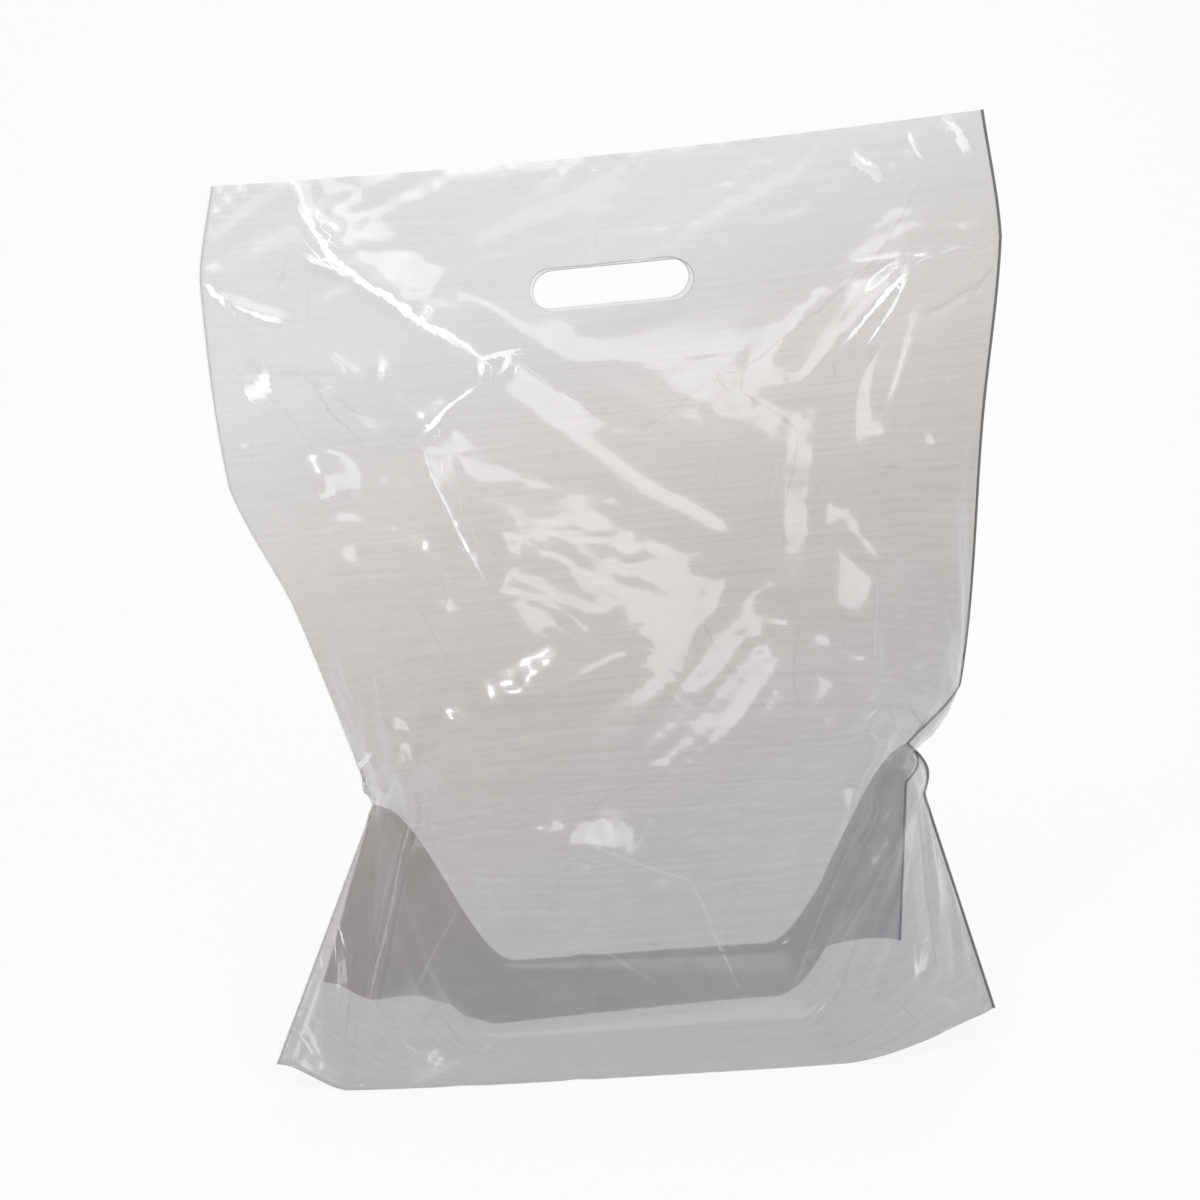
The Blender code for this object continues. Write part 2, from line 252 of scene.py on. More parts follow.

# Sharp creases of the front panel, each named for where it runs
# Their white lines are partly strain whitening and partly painted glints where the creases catch the light
RIDGE_FROM_MOUTH = ((0.046, 0.537), (0.070, 0.497), (0.090, 0.478), (0.118, 0.455), (0.148, 0.432))
RIDGE_BRANCH = ((0.057, 0.497), (0.072, 0.489), (0.084, 0.482))
FRONT_CREASES = (
    Crease(RIDGE_FROM_MOUTH, 0.0034, 0.013, 1.0, line_width=0.0021, jag=0.0010),
    Crease(RIDGE_BRANCH, 0.0020, 0.008, 0.9, line_width=0.0018, jag=0.0008),
    # The small peaks where the ridge ends, and the line beyond them
    Crease(((0.148, 0.432), (0.1495, 0.4205)), 0.0016, 0.007, 0.9, line_width=0.0013),
    Crease(((0.149, 0.4315), (0.165, 0.432), (0.158, 0.420)), 0.0018, 0.008, 0.9, line_width=0.0014),
    Crease(((0.164, 0.430), (0.186, 0.410), (0.206, 0.394)), 0.0022, 0.010, 0.35, 0.0009, 0.0004),
    # The straight fold that falls to the left of it, and its sharp corner
    Crease(((0.148, 0.417), (0.130, 0.402), (0.117, 0.388)), 0.0032, 0.010, 0.95, line_width=0.0013),
    Crease(((0.117, 0.388), (0.126, 0.345), (0.134, 0.299)), 0.0026, 0.010, 0.65, line_width=0.0008),
    Crease(((0.130, 0.383), (0.144, 0.313)), 0.0014, 0.008, 0.20, line_width=0.0006),
    # The kink in the left seam
    Crease(((0.002, 0.484), (0.008, 0.477), (0.013, 0.469)), 0.0022, 0.007, 1.0, 0.0016, 0.0006),
    Crease(((0.016, 0.471), (0.030, 0.464), (0.046, 0.458)), 0.0020, 0.007, 0.9, 0.0013, 0.0006),
    # The band that falls from the ridge to the lower right
    Crease(((0.162, 0.436), (0.297, 0.334)), 0.0030, 0.030),
    # The sharp fan below the right shoulder
    Crease(((0.440, 0.470), (0.394, 0.464), (0.352, 0.462)), 0.0016, 0.012, 0.22, line_width=0.0009),
    Crease(((0.436, 0.466), (0.398, 0.460), (0.393, 0.455)), 0.0016, 0.010, 0.55, line_width=0.0007),
    Crease(((0.393, 0.457), (0.372, 0.438), (0.349, 0.415)), 0.0030, 0.010, 0.90, line_width=0.0013),
    Crease(((0.364, 0.412), (0.381, 0.434), (0.393, 0.457)), 0.0030, 0.009, 0.90, line_width=0.0011),
    Crease(((0.349, 0.415), (0.335, 0.404), (0.318, 0.392)), 0.0018, 0.010, 0.25, line_width=0.0008),
    Crease(((0.447, 0.467), (0.408, 0.440), (0.387, 0.400), (0.368, 0.362)), 0.0030, 0.018, 0.22, 0.0022),
    Crease(((0.349, 0.462), (0.330, 0.438), (0.300, 0.400)), -0.0028, 0.024),
    Crease(((0.348, 0.289), (0.340, 0.262), (0.327, 0.229)), 0.0024, 0.010, 0.35, line_width=0.0008),
    Crease(((0.330, 0.370), (0.316, 0.332), (0.306, 0.296)), 0.0020, 0.014),
    # Pleats that run into the left pinch
    Crease(((0.002, 0.168), (0.030, 0.180), (0.053, 0.195)), 0.0034, 0.009, 0.35, line_width=0.0009),
    Crease(((0.053, 0.195), (0.058, 0.165), (0.056, 0.128), (0.049, 0.034)), 0.0034, 0.009, 0.22, 0.0008),
    Crease(((0.002, 0.162), (0.011, 0.188), (0.032, 0.199)), 0.0028, 0.008, 0.75, line_width=0.0014),
    Crease(((0.004, 0.150), (0.084, 0.171), (0.112, 0.303), (0.124, 0.319)), 0.0024, 0.014, 0.12, 0.0008),
    # Facets of the lower middle
    Crease(((0.158, 0.145), (0.176, 0.145), (0.232, 0.121), (0.271, 0.047)), 0.0026, 0.018, 0.25, 0.0008),
    Crease(((0.271, 0.047), (0.229, 0.087), (0.204, 0.111), (0.158, 0.145)), -0.0024, 0.016),
    Crease(((0.112, 0.128), (0.155, 0.101), (0.190, 0.081), (0.225, 0.057)), 0.0026, 0.020, 0.15, 0.0008),
    Crease(((0.112, 0.128), (0.092, 0.086), (0.077, 0.044)), 0.0022, 0.016, 0.15, 0.0008),
    Crease(((0.105, 0.034), (0.137, 0.044), (0.207, 0.040), (0.236, 0.037)), 0.0024, 0.014),
    Crease(((0.296, 0.044), (0.314, 0.101), (0.348, 0.180)), 0.0018, 0.014, 0.15, 0.0008),
    Crease(((0.074, 0.030), (0.092, 0.018), (0.105, 0.004)), 0.0028, 0.010, 0.30, 0.0008),
    # The right ear
    Crease(((0.440, 0.158), (0.387, 0.141), (0.348, 0.104), (0.313, 0.064)), 0.0026, 0.018, 0.15, 0.0008),
    Crease(((0.446, 0.004), (0.408, 0.044), (0.373, 0.040), (0.341, 0.020)), 0.0028, 0.016, 0.15, 0.0010),
    # Painted glints, drawn as short white creases, beside the slot, in the top right corner and at the upper
    # left
    Crease(((0.208, 0.482), (0.226, 0.489), (0.250, 0.490)), 0.0012, 0.008, 0.20, line_width=0.0014),
    Crease(((0.366, 0.524), (0.372, 0.516), (0.384, 0.506)), 0.0016, 0.008, 0.55, 0.0036, 0.0020),
    Crease(((0.401, 0.531), (0.404, 0.520), (0.408, 0.514)), 0.0014, 0.006, 0.70, 0.0012, 0.0006),
    Crease(((0.424, 0.533), (0.432, 0.529), (0.436, 0.514)), 0.0016, 0.008, 0.75, 0.0030, 0.0004),
    Crease(((0.0700, 0.5150), (0.0745, 0.5105), (0.0770, 0.5060)), 0.0012, 0.006, 0.55, 0.0026, 0.0010),
    Crease(((0.0222, 0.4248), (0.0245, 0.4150)), 0.0014, 0.008, 1.0, line_width=0.0028),
    Crease(((0.0278, 0.4155), (0.0266, 0.4285)), 0.0014, 0.008, 1.0, line_width=0.0028),
    Crease(((0.0315, 0.4325), (0.0318, 0.4185)), 0.0014, 0.008, 1.0, line_width=0.0028),
    Crease(((0.068, 0.438), (0.075, 0.432), (0.077, 0.426)), 0.0016, 0.006, 0.55, 0.0014, 0.0006),
    Crease(((0.097, 0.432), (0.096, 0.422)), 0.0016, 0.006, 0.55, line_width=0.0018),
    Crease(((0.012, 0.3905), (0.018, 0.3905)), 0.0010, 0.005, 0.50, line_width=0.0014),
    Crease(((0.055, 0.359), (0.066, 0.360)), 0.0012, 0.006, 0.60, line_width=0.0018),
)

# Pleats of the gusset, on each of its halves: they fan out of the pinches where it was folded in
GUSSET_CREASES = (
    Crease(((0.004, 0.150), (0.040, 0.110), (0.078, 0.052)), 0.0024, 0.014),
    Crease(((0.010, 0.152), (0.066, 0.126), (0.120, 0.092)), 0.0022, 0.016, 0.10, line_width=0.0007),
    Crease(((0.003, 0.140), (0.022, 0.085), (0.034, 0.030)), 0.0022, 0.012, 0.12, line_width=0.0007),
    Crease(((0.447, 0.150), (0.404, 0.112), (0.362, 0.060)), 0.0024, 0.014),
    Crease(((0.440, 0.152), (0.388, 0.124), (0.330, 0.100)), 0.0022, 0.016, 0.10, line_width=0.0007),
    Crease(((0.447, 0.138), (0.430, 0.084), (0.418, 0.036)), 0.0022, 0.012, 0.12, line_width=0.0007),
)

# The fine grid of the web, with squares of about 2.7 mm
COLUMNS = 168
ROWS_ABOVE_PINCH = 142
ROWS_BELOW_PINCH = 60
SMALLEST = 1e-6

# The share of the film's spare width and length that shows as buckles, and how the simulation is run
BUCKLED_SHARE = 0.35
BUCKLE_START = 0.0002
BUCKLE_HOLD = 0.1
BUCKLE_QUALITY = 5
BUCKLE_MASS = 0.02
BUCKLE_STRETCH = 60
BUCKLE_BEND = 0.1
BUCKLE_RISE = 10
BUCKLE_FRAMES = 25
SEED = 7

# Buckles broader than this many squares of the coarse grid are left out, and none stands out further than
# the limit, which falls from the floor up to the slot
WRINKLE_SPREAD = 4.0
WRINKLE_LIMIT = 0.0017
TOP_WRINKLE_LIMIT = 0.0005

# Film moves inwards by at most this share of the room between the panels, and stays this far off the floor
PANEL_SHARE = 0.42
FILM_LIFT = 0.0002

# A crease dies away over this share of its length, down to these shares of its height and whiteness
CREASE_END = 0.18
END_HEIGHT = 0.35
END_WHITENESS = 0.3
# A jagged crease turns aside every few millimetres, with its turns out of step by up to this share
JAG_STEP = 0.005
JAG_WANDER = 0.3
# Its mark is kept this far out, and places further off count as this many line widths away
LINE_REACH = 0.006
FAR_OFF = 6000.0
# All creases run out this near to a seam
SEAM_HOLD = 0.012

# Creases that handling leaves, on each panel and on the gusset. They run steeply, turned by about the
# spread in radians, bend by a share of their length, and keep the margin from the seams. Pairs are the
# least and the most
HANDLING_CREASES = 36
HANDLING_LENGTH = (0.012, 0.070)
HANDLING_TURN_SPREAD = 0.75
HANDLING_MARGIN = 0.01
HANDLING_BEND = 0.12
HANDLING_HEIGHT = (0.0003, 0.0011)
HANDLING_HALF_WIDTH = (0.006, 0.020)
HANDLING_WHITENING = (0.0, 0.08)
HANDLING_LINE = (0.0003, 0.0008)

# The back panel's creases lie lower and are fainter. None has a wider line than the thin one, and those
# with a wide line on the front have no mark at all
BACK_CREASE_SCALE = 0.93
BACK_WHITENING = 0.2
THIN_LINE = 0.0010
WIDE_LINE = 0.0024

# What the mesh tells the film's material at each point: how white it is, from strain whitening and painted
# glints, how many line widths it is from the middle of a white line, and how far it is from the hand slot's
# edge
FILM_MARKS = ("stress_and_glint", "line_gap", "slot_gap")

# Patterns of the film, each at its real size, and how much they change its opacity or stand out
DIE_LINE_PITCH = 0.0032
DIE_LINE_LENGTH = 0.240
DIE_LINE_DENSITY = 0.11
DIE_LINE_RELIEF = 0.00002
CLOUD_SIZE = 0.090
CLOUD_DENSITY = 0.08
CRINKLE_SIZE = 0.014
CRINKLE_RELIEF = 0.00006

# Noise mostly lies between these values, and less of it between the closer ones
NOISE_SPAN = (0.3, 0.7)
CLOSE_NOISE_SPAN = (0.35, 0.65)

# A white line, of strain whitening and painted glint, strays by a share of its width, swells between two
# shares of it, has a soft edge, and adds this much opacity
STRAY_SIZE = 0.004
STRAY_SHARE = 0.2
SWELL_SIZE = 0.007
SWELL_SHARES = (0.35, 1.2)
LINE_EDGE = 0.35
WHITE_DENSITY = 0.9

# The hand slot's cut edge, which shows less at the foot of the slot than at its top, the reach over which
# the mesh tells how near it is, and the height of the slot's middle above the floor
CUT_EDGE_WIDTH = 0.0012
CUT_DENSITY = 0.5
LOWER_EDGE_SHARE = 0.1
CUT_EDGE_REACH = 0.010
SLOT_MIDDLE = 0.4305

# The film gets denser from the upper to the lower height above the floor, and sooner on the right, as
# painted shade
LOW_FILM = 0.05
HIGH_FILM = 0.45
RIGHT_PAINTED_SHADE = 0.4
FILM_ROUGHNESS = 0.24
COAT_ROUGHNESS = 0.09
POLYTHENE_IOR = 1.51
# Film tone by height above the floor, with painted shade: cool grey at the foot, warmer at mid height, cool
# at the mouth
FILM_TONES_WITH_PAINTED_SHADE = ((0.0, "73727A"), (0.24, "84776B"), (0.35, "A79F97"), (0.40, "AFA9A3"), (HIGH_FILM, "BBBCC0"))
# The tone of white lines, which are partly strain whitening and partly painted glints
WHITE_LINE_AND_GLINT_TONE = "FCFDFF"
CUT_FILM = "6C6C6C"

# The side weld's bead is clear on the left and grey on the right as painted light and shade; it changes this
# far from the middle
BEAD_SIDES = 8
BEAD_LUMP_SIZE = 0.006
BEAD_LUMP_DENSITY = 0.2
BEAD_CHANGE = 0.15
RIGHT_BEAD_DENSITY = 0.7
BEAD_ROUGHNESS = 0.2
LIT_LEFT_BEAD = "E4E0D2"
SHADED_RIGHT_BEAD = "6E6E70"

# The stage. Lamps are (name, place, (width, height), watts)
PAPER_FRONT = 3.0
PAPER_BACK = 1.0
PAPER_BEND = 0.8
PAPER_HEIGHT = 3.5
PAPER_HALF_WIDTH = 4.0
PAPER_STEPS = 12
PAPER_GLOW = 0.85
WORLD_LIGHT = 0.6
WHITE = (1.0, 1.0, 1.0, 1.0)
FILM_LAYERS = 32
CAMERA_TARGET = (-0.0066, -0.00136, 0.254)
LAMPS = (
    ("window", (0.25, -1.9, 1.23), (1.35, 0.70), 13.0),
    ("key", (-1.2, -1.5, 1.9), (0.35, 0.35), 12.0),
    ("back", (0.6, 1.6, 1.6), (0.6, 0.6), 8.0),
)

# Sockets of the Mix node when it mixes colours
MIX_SHARE = 0
MIX_FIRST = 6
MIX_SECOND = 7
MIX_RESULT = 2

# The film is spread as if round a half circle where a panel's bulge, times this, is as much as its width
ROUND_DEPTH = 3


def clamp(values):
    """Values held between 0 and 1."""
    return np.clip(values, 0.0, 1.0)


def ease(values):
    """0 up to 0, 1 from 1, and a smooth step between them."""
    t = clamp(values)
    return t * t * (3 - 2 * t)


def blend(a, b, share):
    """The value this share of the way from a to b."""
    return a + (b - a) * share


def through(along, values, at):
    """A smooth curve through values at rising places along the film. Values are numbers or points."""
    along = np.asarray(along, float)
    values = np.asarray(values, float)
    at = np.asarray(at, float)
    last = len(along) - 1
    span = np.clip(np.searchsorted(along, at, side="right") - 1, 0, last - 1)
    before = np.maximum(np.arange(last + 1) - 1, 0)
    after = np.minimum(np.arange(last + 1) + 1, last)
    run = (along[after] - along[before]).reshape((-1,) + (1,) * (values.ndim - 1))
    slopes = (values[after] - values[before]) / run
    length = along[span + 1] - along[span]
    t = (at - along[span]) / length
    if values.ndim > 1:
        length = length[..., None]
        t = t[..., None]
    start = slopes[span] * length
    end = slopes[span + 1] * length
    return (
        values[span] * (2 * t**3 - 3 * t**2 + 1)
        + start * (t**3 - 2 * t**2 + t)
        + values[span + 1] * (3 * t**2 - 2 * t**3)
        + end * (t**3 - t**2)
    )


def above_pinch(share):
    """Film distance above the bottom fold, this share of the way from the pinch to the mouth."""
    return blend(GUSSET_DEPTH, PANEL_HEIGHT, share)


def climb(route, floor, crumple):
    """Points for (film distance, x, y) stations, so that the film between them keeps its length."""
    points = []
    height = floor
    for i, (along, x, y) in enumerate(route):
        if i:
            before, x0, y0 = route[i - 1]
            taut = (along - before) * (1 - crumple)
            height += math.sqrt(taut**2 - (x - x0) ** 2 - (y - y0) ** 2)
        points.append((x, y, height))
    return np.array(points)


def bottom_corner(side, panel):
    """Where a panel's bottom fold ends at a side, a little off the floor."""
    inset = side.front_corner_inset if panel is FRONT else side.back_corner_inset
    return np.array((side.sign * (BAG_WIDTH / 2 - inset), panel.sign * panel.ear_reach, side.corner_lift))


def seam_stations(side):
    """The welded seam from the pinch up to the mouth."""
    places = (
        (GUSSET_DEPTH, side.pinch_inset, 0.0),
        (above_pinch(side.shoulder_share), side.shoulder_inset, 0.0),
        (above_pinch(FLANK_SHARE), side.flank_inset, side.flank_lean),
        (above_pinch(side.band_share), side.band_inset, side.band_lean),
        (PANEL_HEIGHT, side.mouth_inset, side.mouth_lean),
    )
    route = [(along, side.sign * (BAG_WIDTH / 2 - inset), lean) for along, inset, lean in places]
    corner = bottom_corner(side, FRONT)
    ear = climb([(0.0, corner[0], corner[1]), route[0]], corner[2], side.crumple)
    return np.array([along for along, _, _ in route]), climb(route, ear[-1][2], side.crumple)


SEAMS = {side.sign: seam_stations(side) for side in (LEFT, RIGHT)}


def seam_points(side, panel, ups):
    """The seam at film distances above the bottom fold. Below the pinch the two panels part."""
    ups = np.asarray(ups, float)
    along, stations = SEAMS[side.sign]
    straight = np.stack([np.interp(ups, along, stations[:, i]) for i in range(3)], axis=-1)
    above = blend(straight, through(along, stations, np.maximum(ups, GUSSET_DEPTH)), SEAM_SOFTNESS)
    share = clamp(ups / GUSSET_DEPTH)[..., None]
    ear = blend(bottom_corner(side, panel), stations[0], share)
    near_pinch = clamp((ups - GUSSET_DEPTH + EAR_TOP) / EAR_TOP)
    ear[..., 0] += side.sign * side.ear_top_flare * np.sin(math.pi * near_pinch)
    return np.where((ups >= GUSSET_DEPTH)[..., None], above, ear)


def bulge_at(panel, ups):
    """How far a panel's middle stands out from the line between the seams."""
    places = (
        (0.0, panel.fold_bulge),
        (GUSSET_DEPTH / 2, panel.ear_bulge),
        (GUSSET_DEPTH, panel.pinch_bulge),
        (above_pinch(CHEST_SHARE), panel.chest_bulge),
        (PANEL_HEIGHT - SLOT_DROP - SLOT_HEIGHT, SLOT_BULGE),
        (PANEL_HEIGHT, MOUTH_BULGE),
    )
    return through(*zip(*places), ups)


def middle_height(panel, ups):
    """Height of a panel's middle line, which climbs from the floor by the film's own length."""
    steps = np.linspace(0.0, 1.0, LENGTH_STEPS + 1)
    places = np.outer(ups, steps)
    left = seam_points(LEFT, panel, places)
    right = seam_points(RIGHT, panel, places)
    depths = (left[..., 1] + right[..., 1]) / 2 + panel.sign * bulge_at(panel, places)
    taut = np.asarray(ups)[:, None] / LENGTH_STEPS * (1 - panel.crumple)
    return np.sqrt(taut**2 - np.diff(depths, axis=1) ** 2).sum(axis=1)


def fan_folds(fan):
    """The folds of a fan, from the pinch inwards and up."""
    pinch = np.array((BAG_WIDTH * (fan.side + 1) / 2, GUSSET_DEPTH))
    folds = []
    for turn in np.linspace(fan.first_turn, fan.last_turn, fan.count):
        run = np.array((-fan.side * math.cos(turn), math.sin(turn)))
        folds.append(Fold(pinch + run * fan.start, pinch + run * fan.end, fan.height, fan.half_width))
    return folds


def fold_height(panel, across, ups):
    """How far the broad folds stand out from the smooth panel. They die away towards the seams."""
    total = np.zeros_like(across)
    folds = list(panel.folds) + [fold for fan in panel.fans for fold in fan_folds(fan)]
    for fold in folds:
        gone = distance_to(across, ups, fold.start, fold.end)[0] / fold.half_width
        total += fold.height * (1 - ease(gone))
    return total * ease(np.minimum(across, BAG_WIDTH - across) / FOLD_FADE)


def distance_to(across, ups, start, end):
    """Distance of film places from the stretch between two points, and the share of the way along it."""
    dx = end[0] - start[0]
    dy = end[1] - start[1]
    share = clamp(((across - start[0]) * dx + (ups - start[1]) * dy) / (dx * dx + dy * dy))
    return np.hypot(across - start[0] - dx * share, ups - start[1] - dy * share), share


def panel_rows(panel, ups, shares):
    """Level rows of a panel, from the left seam to the right seam."""
    ups = np.asarray(ups, float)
    left = seam_points(LEFT, panel, ups)
    right = seam_points(RIGHT, panel, ups)
    bulge = bulge_at(panel, ups)[:, None]
    roundness = clamp(ROUND_DEPTH * bulge / (right[:, :1] - left[:, :1]))
    middle = middle_height(panel, ups)[:, None]
    low = 1 - ease(ups / above_pinch(CHEST_SHARE))[:, None]
    squareness = 1 - ease(ups / GUSSET_DEPTH)[:, None]
    share = shares[None, :]
    across = blend(share, (1 - np.cos(math.pi * share)) / 2, roundness)
    points = left[:, None, :] + (right - left)[:, None, :] * across[..., None]
    arch = np.sin(math.pi * share)
    flat_arch = (1 - (2 * share - 1) ** 4) * (1 + FOLD_SKEW * (share - 0.5))
    film_across = np.broadcast_to(share * BAG_WIDTH, across.shape)
    points[..., 1] += panel.sign * bulge * blend(arch, flat_arch, squareness)
    points[..., 1] += panel.sign * fold_height(panel, film_across, ups[:, None])
    near_left = ease(1 - share / LEFT.corner_spread)
    near_right = ease(1 - (1 - share) / RIGHT.corner_spread)
    left_z = left[:, 2:3]
    right_z = right[:, 2:3]
    ends = middle + (left_z - middle) * near_left + (right_z - middle) * near_right
    level = points[..., 2] + (middle - (left_z + right_z) / 2) * arch
    points[..., 2] = blend(level, ends, low)
    return points


def inner_fold(shares):
    """The line along which the gusset was folded in, from pinch to pinch."""
    left, right = (seam_points(side, FRONT, [GUSSET_DEPTH])[0] for side in (LEFT, RIGHT))
    points = blend(left, right, shares[:, None])
    sink = ease(np.minimum(shares, 1 - shares) / RIDGE_END)
    points[:, 2] = blend(points[:, 2], RIDGE_HEIGHT, sink)
    points[:, 1] += (BACK.ear_reach - FRONT.ear_reach) / 2 * sink
    return points


def gusset_rows(inwards, shares, fold, ridge):
    """Rows of a gusset half, at film distances in from its bottom fold."""
    share = (np.asarray(inwards) / GUSSET_DEPTH)[:, None]
    straight = fold[None] + (ridge - fold)[None] * share[..., None]
    strip = (FLOOR_STRIP / np.maximum(np.abs(ridge[:, 1] - fold[:, 1]), SMALLEST))[None, :]
    rise = ease((share - strip) / (1 - strip + SMALLEST))
    open_share = ease(np.minimum(shares, 1 - shares) / RIDGE_END)[None, :]
    flat_z = blend(fold[:, 2], ridge[:, 2], rise)
    straight[..., 2] = blend(straight[..., 2], flat_z, open_share)
    return straight


class Web(NamedTuple):
    """The web as rows of points, from the front mouth round to the back mouth."""

    points: np.ndarray
    # For each row: how far along the web, how far above its bottom fold, and on which part of the web
    along: np.ndarray
    up: np.ndarray
    step: np.ndarray
    back: np.ndarray
    gusset: np.ndarray


def lay_out_web(columns, rows_above, rows_below):
    """The whole web with its broad folds, on the floor, with the middle of its box over the origin."""
    shares = np.linspace(0.0, 1.0, columns + 1)
    above = np.linspace(PANEL_HEIGHT, GUSSET_DEPTH, rows_above + 1)
    below = np.linspace(GUSSET_DEPTH, 0.0, rows_below + 1)
    ups = np.concatenate([above, below[1:]])
    inwards = below[-2:0:-1]
    ridge = inner_fold(shares)
    halves = []
    for panel in (FRONT, BACK):
        rows = panel_rows(panel, ups, shares)
        halves.append(np.concatenate([rows, gusset_rows(inwards, shares, rows[-1], ridge)]))
    points = np.concatenate([halves[0], ridge[None], halves[1][::-1]])
    low = points.min(axis=(0, 1))
    high = points.max(axis=(0, 1))
    points -= np.array(((low[0] + high[0]) / 2, (low[1] + high[1]) / 2, low[2]))
    half_up = np.concatenate([ups, inwards])
    half_step = np.concatenate([np.arange(len(ups))[::-1], np.arange(1, rows_below)])
    half_gusset = np.arange(len(half_up)) >= len(ups)
    half_along = np.concatenate([PANEL_HEIGHT - ups, PANEL_HEIGHT + inwards])
    count = len(half_up)
    return Web(
        points=points,
        along=np.concatenate([half_along, [WEB_LENGTH / 2], WEB_LENGTH - half_along[::-1]]),
        up=np.concatenate([half_up, [GUSSET_DEPTH], half_up[::-1]]),
        step=np.concatenate([half_step, [rows_below], half_step[::-1]]),
        back=np.arange(2 * count + 1) > count,
        gusset=np.concatenate([half_gusset, [True], half_gusset[::-1]]),
    )


def welded_ids(web, rows_below):
    """A vertex number for each point of the web: rows that meet in a side weld share theirs there."""
    rows, columns = web.points.shape[:2]
    ids = np.arange(rows * columns).reshape(rows, columns)
    first = {}
    for row in range(rows):
        key = (bool(web.back[row]) and web.step[row] < rows_below, int(web.step[row]))
        first.setdefault(key, row)
        for column in (0, columns - 1):
            ids[row, column] = ids[first[key], column]
    return ids


def normals_of(points):
    """Unit normals of a grid of points, out of the bag."""
    normals = np.cross(np.gradient(points, axis=0), np.gradient(points, axis=1))
    return normals / np.maximum(np.linalg.norm(normals, axis=-1, keepdims=True), SMALLEST * SMALLEST)


def jagged(crease, generator):
    """The crease's points, with its swings to both sides added between them."""
    if not crease.jag:
        return crease.points
    points = [crease.points[0]]
    for (x0, y0), (x1, y1) in zip(crease.points, crease.points[1:]):
        length = math.dist((x0, y0), (x1, y1))
        count = max(1, round(length / JAG_STEP))
        for i in range(1, count + 1):
            share = (i + generator.uniform(-JAG_WANDER, JAG_WANDER)) / count if i < count else 1.0
            swing = generator.uniform(-crease.jag, crease.jag) / length if i < count else 0.0
            across = blend(x0, x1, share) - swing * (y1 - y0)
            points.append((across, blend(y0, y1, share) + swing * (x1 - x0)))
    return points


class Creased(NamedTuple):
    """What creases do at each place: height, white lines and painted glints, and signed distance in line
    widths.
    """

    height: np.ndarray
    stress_and_glint: np.ndarray
    line_gap: np.ndarray


def crease_field(creases, across, ups, generator):
    """Height and marks of sharp creases at film places. A crease dies away at both its ends."""
    height = np.zeros_like(across)
    stress_and_glint = np.zeros_like(across)
    line_gap = np.full_like(across, FAR_OFF)
    for crease in creases:
        points = jagged(crease, generator)
        runs = list(zip(points, points[1:]))
        lengths = [math.dist(a, b) for a, b in runs]
        total = sum(lengths)
        done = 0.0
        nearest = np.full_like(across, np.inf)
        along = np.zeros_like(across)
        side = np.ones_like(across)
        for (a, b), length in zip(runs, lengths):
            gap, share = distance_to(across, ups, a, b)
            closer = gap < nearest
            turn = (b[0] - a[0]) * (ups - a[1]) - (b[1] - a[1]) * (across - a[0])
            along = np.where(closer, (done + share * length) / total, along)
            side = np.where(closer, np.where(turn < 0, -1.0, 1.0), side)
            nearest = np.where(closer, gap, nearest)
            done += length
        fade = ease(np.minimum(along, 1 - along) / CREASE_END)
        height += crease.height * clamp(1 - nearest / crease.half_width) * blend(END_HEIGHT, 1.0, fade)
        marked = nearest < LINE_REACH + crease.line_width
        widths = side * nearest / crease.line_width
        first = marked & (crease.whitening > 0) & (np.abs(widths) < np.abs(line_gap))
        line_gap = np.where(first, widths, line_gap)
        stress_and_glint = np.where(first, crease.whitening * blend(END_WHITENESS, 1.0, fade), stress_and_glint)
    return Creased(height, stress_and_glint, np.clip(line_gap, -FAR_OFF, FAR_OFF))


def handling_creases(generator, count):
    """Short random creases that handling leaves in a film. Most run steeply, as the load pulls them."""
    creases = []
    for _ in range(count):
        length = generator.uniform(*HANDLING_LENGTH)
        turn = generator.normal(math.pi / 2, HANDLING_TURN_SPREAD)
        across = generator.uniform(HANDLING_MARGIN, BAG_WIDTH - HANDLING_MARGIN)
        up = generator.uniform(0.0, PANEL_HEIGHT)
        reach = (length / 2 * math.cos(turn), length / 2 * math.sin(turn))
        bend = generator.normal(0.0, HANDLING_BEND * length)
        start = (across - reach[0], up - reach[1])
        middle = (across - bend * math.sin(turn), up + bend * math.cos(turn))
        end = (across + reach[0], up + reach[1])
        creases.append(
            Crease(
                points=(start, middle, end),
                height=generator.choice((-1, 1)) * generator.uniform(*HANDLING_HEIGHT),
                half_width=generator.uniform(*HANDLING_HALF_WIDTH),
                whitening=generator.uniform(*HANDLING_WHITENING),
                line_width=generator.uniform(*HANDLING_LINE),
            )
        )
    return creases


def sample_grid(grid, rows, columns):
    """Values of a grid of points at fractional rows and columns."""
    row = np.clip(np.floor(rows).astype(int), 0, grid.shape[0] - 2)
    column = np.clip(np.floor(columns).astype(int), 0, grid.shape[1] - 2)
    down = (rows - row)[..., None]
    right = (columns - column)[..., None]
    upper = blend(grid[row, column], grid[row, column + 1], right)
    lower = blend(grid[row + 1, column], grid[row + 1, column + 1], right)
    return blend(upper, lower, down)


def slot_gap(across, ups, middle_up):
    """Distance of film places from the edge of the hand slot, negative inside it."""
    radius = SLOT_HEIGHT / 2
    past = np.maximum(np.abs(across - BAG_WIDTH / 2) - (SLOT_LENGTH / 2 - radius), 0.0)
    return np.hypot(past, ups - middle_up) - radius


def slot_up(panel):
    """Where the punch went through this panel: level with the slot's middle on the front panel."""
    wanted = middle_height(FRONT, np.array([PANEL_HEIGHT - SLOT_DROP]))[0]
    ups = np.linspace(PANEL_HEIGHT - 2 * SLOT_DROP, PANEL_HEIGHT, LENGTH_STEPS)
    return float(np.interp(wanted, middle_height(panel, ups), ups))


class FlatFilm(NamedTuple):
    """Where each point of the grid lies on the flat film, and how far it is from the hand slot's edge."""

    across: np.ndarray
    along: np.ndarray
    gap: np.ndarray


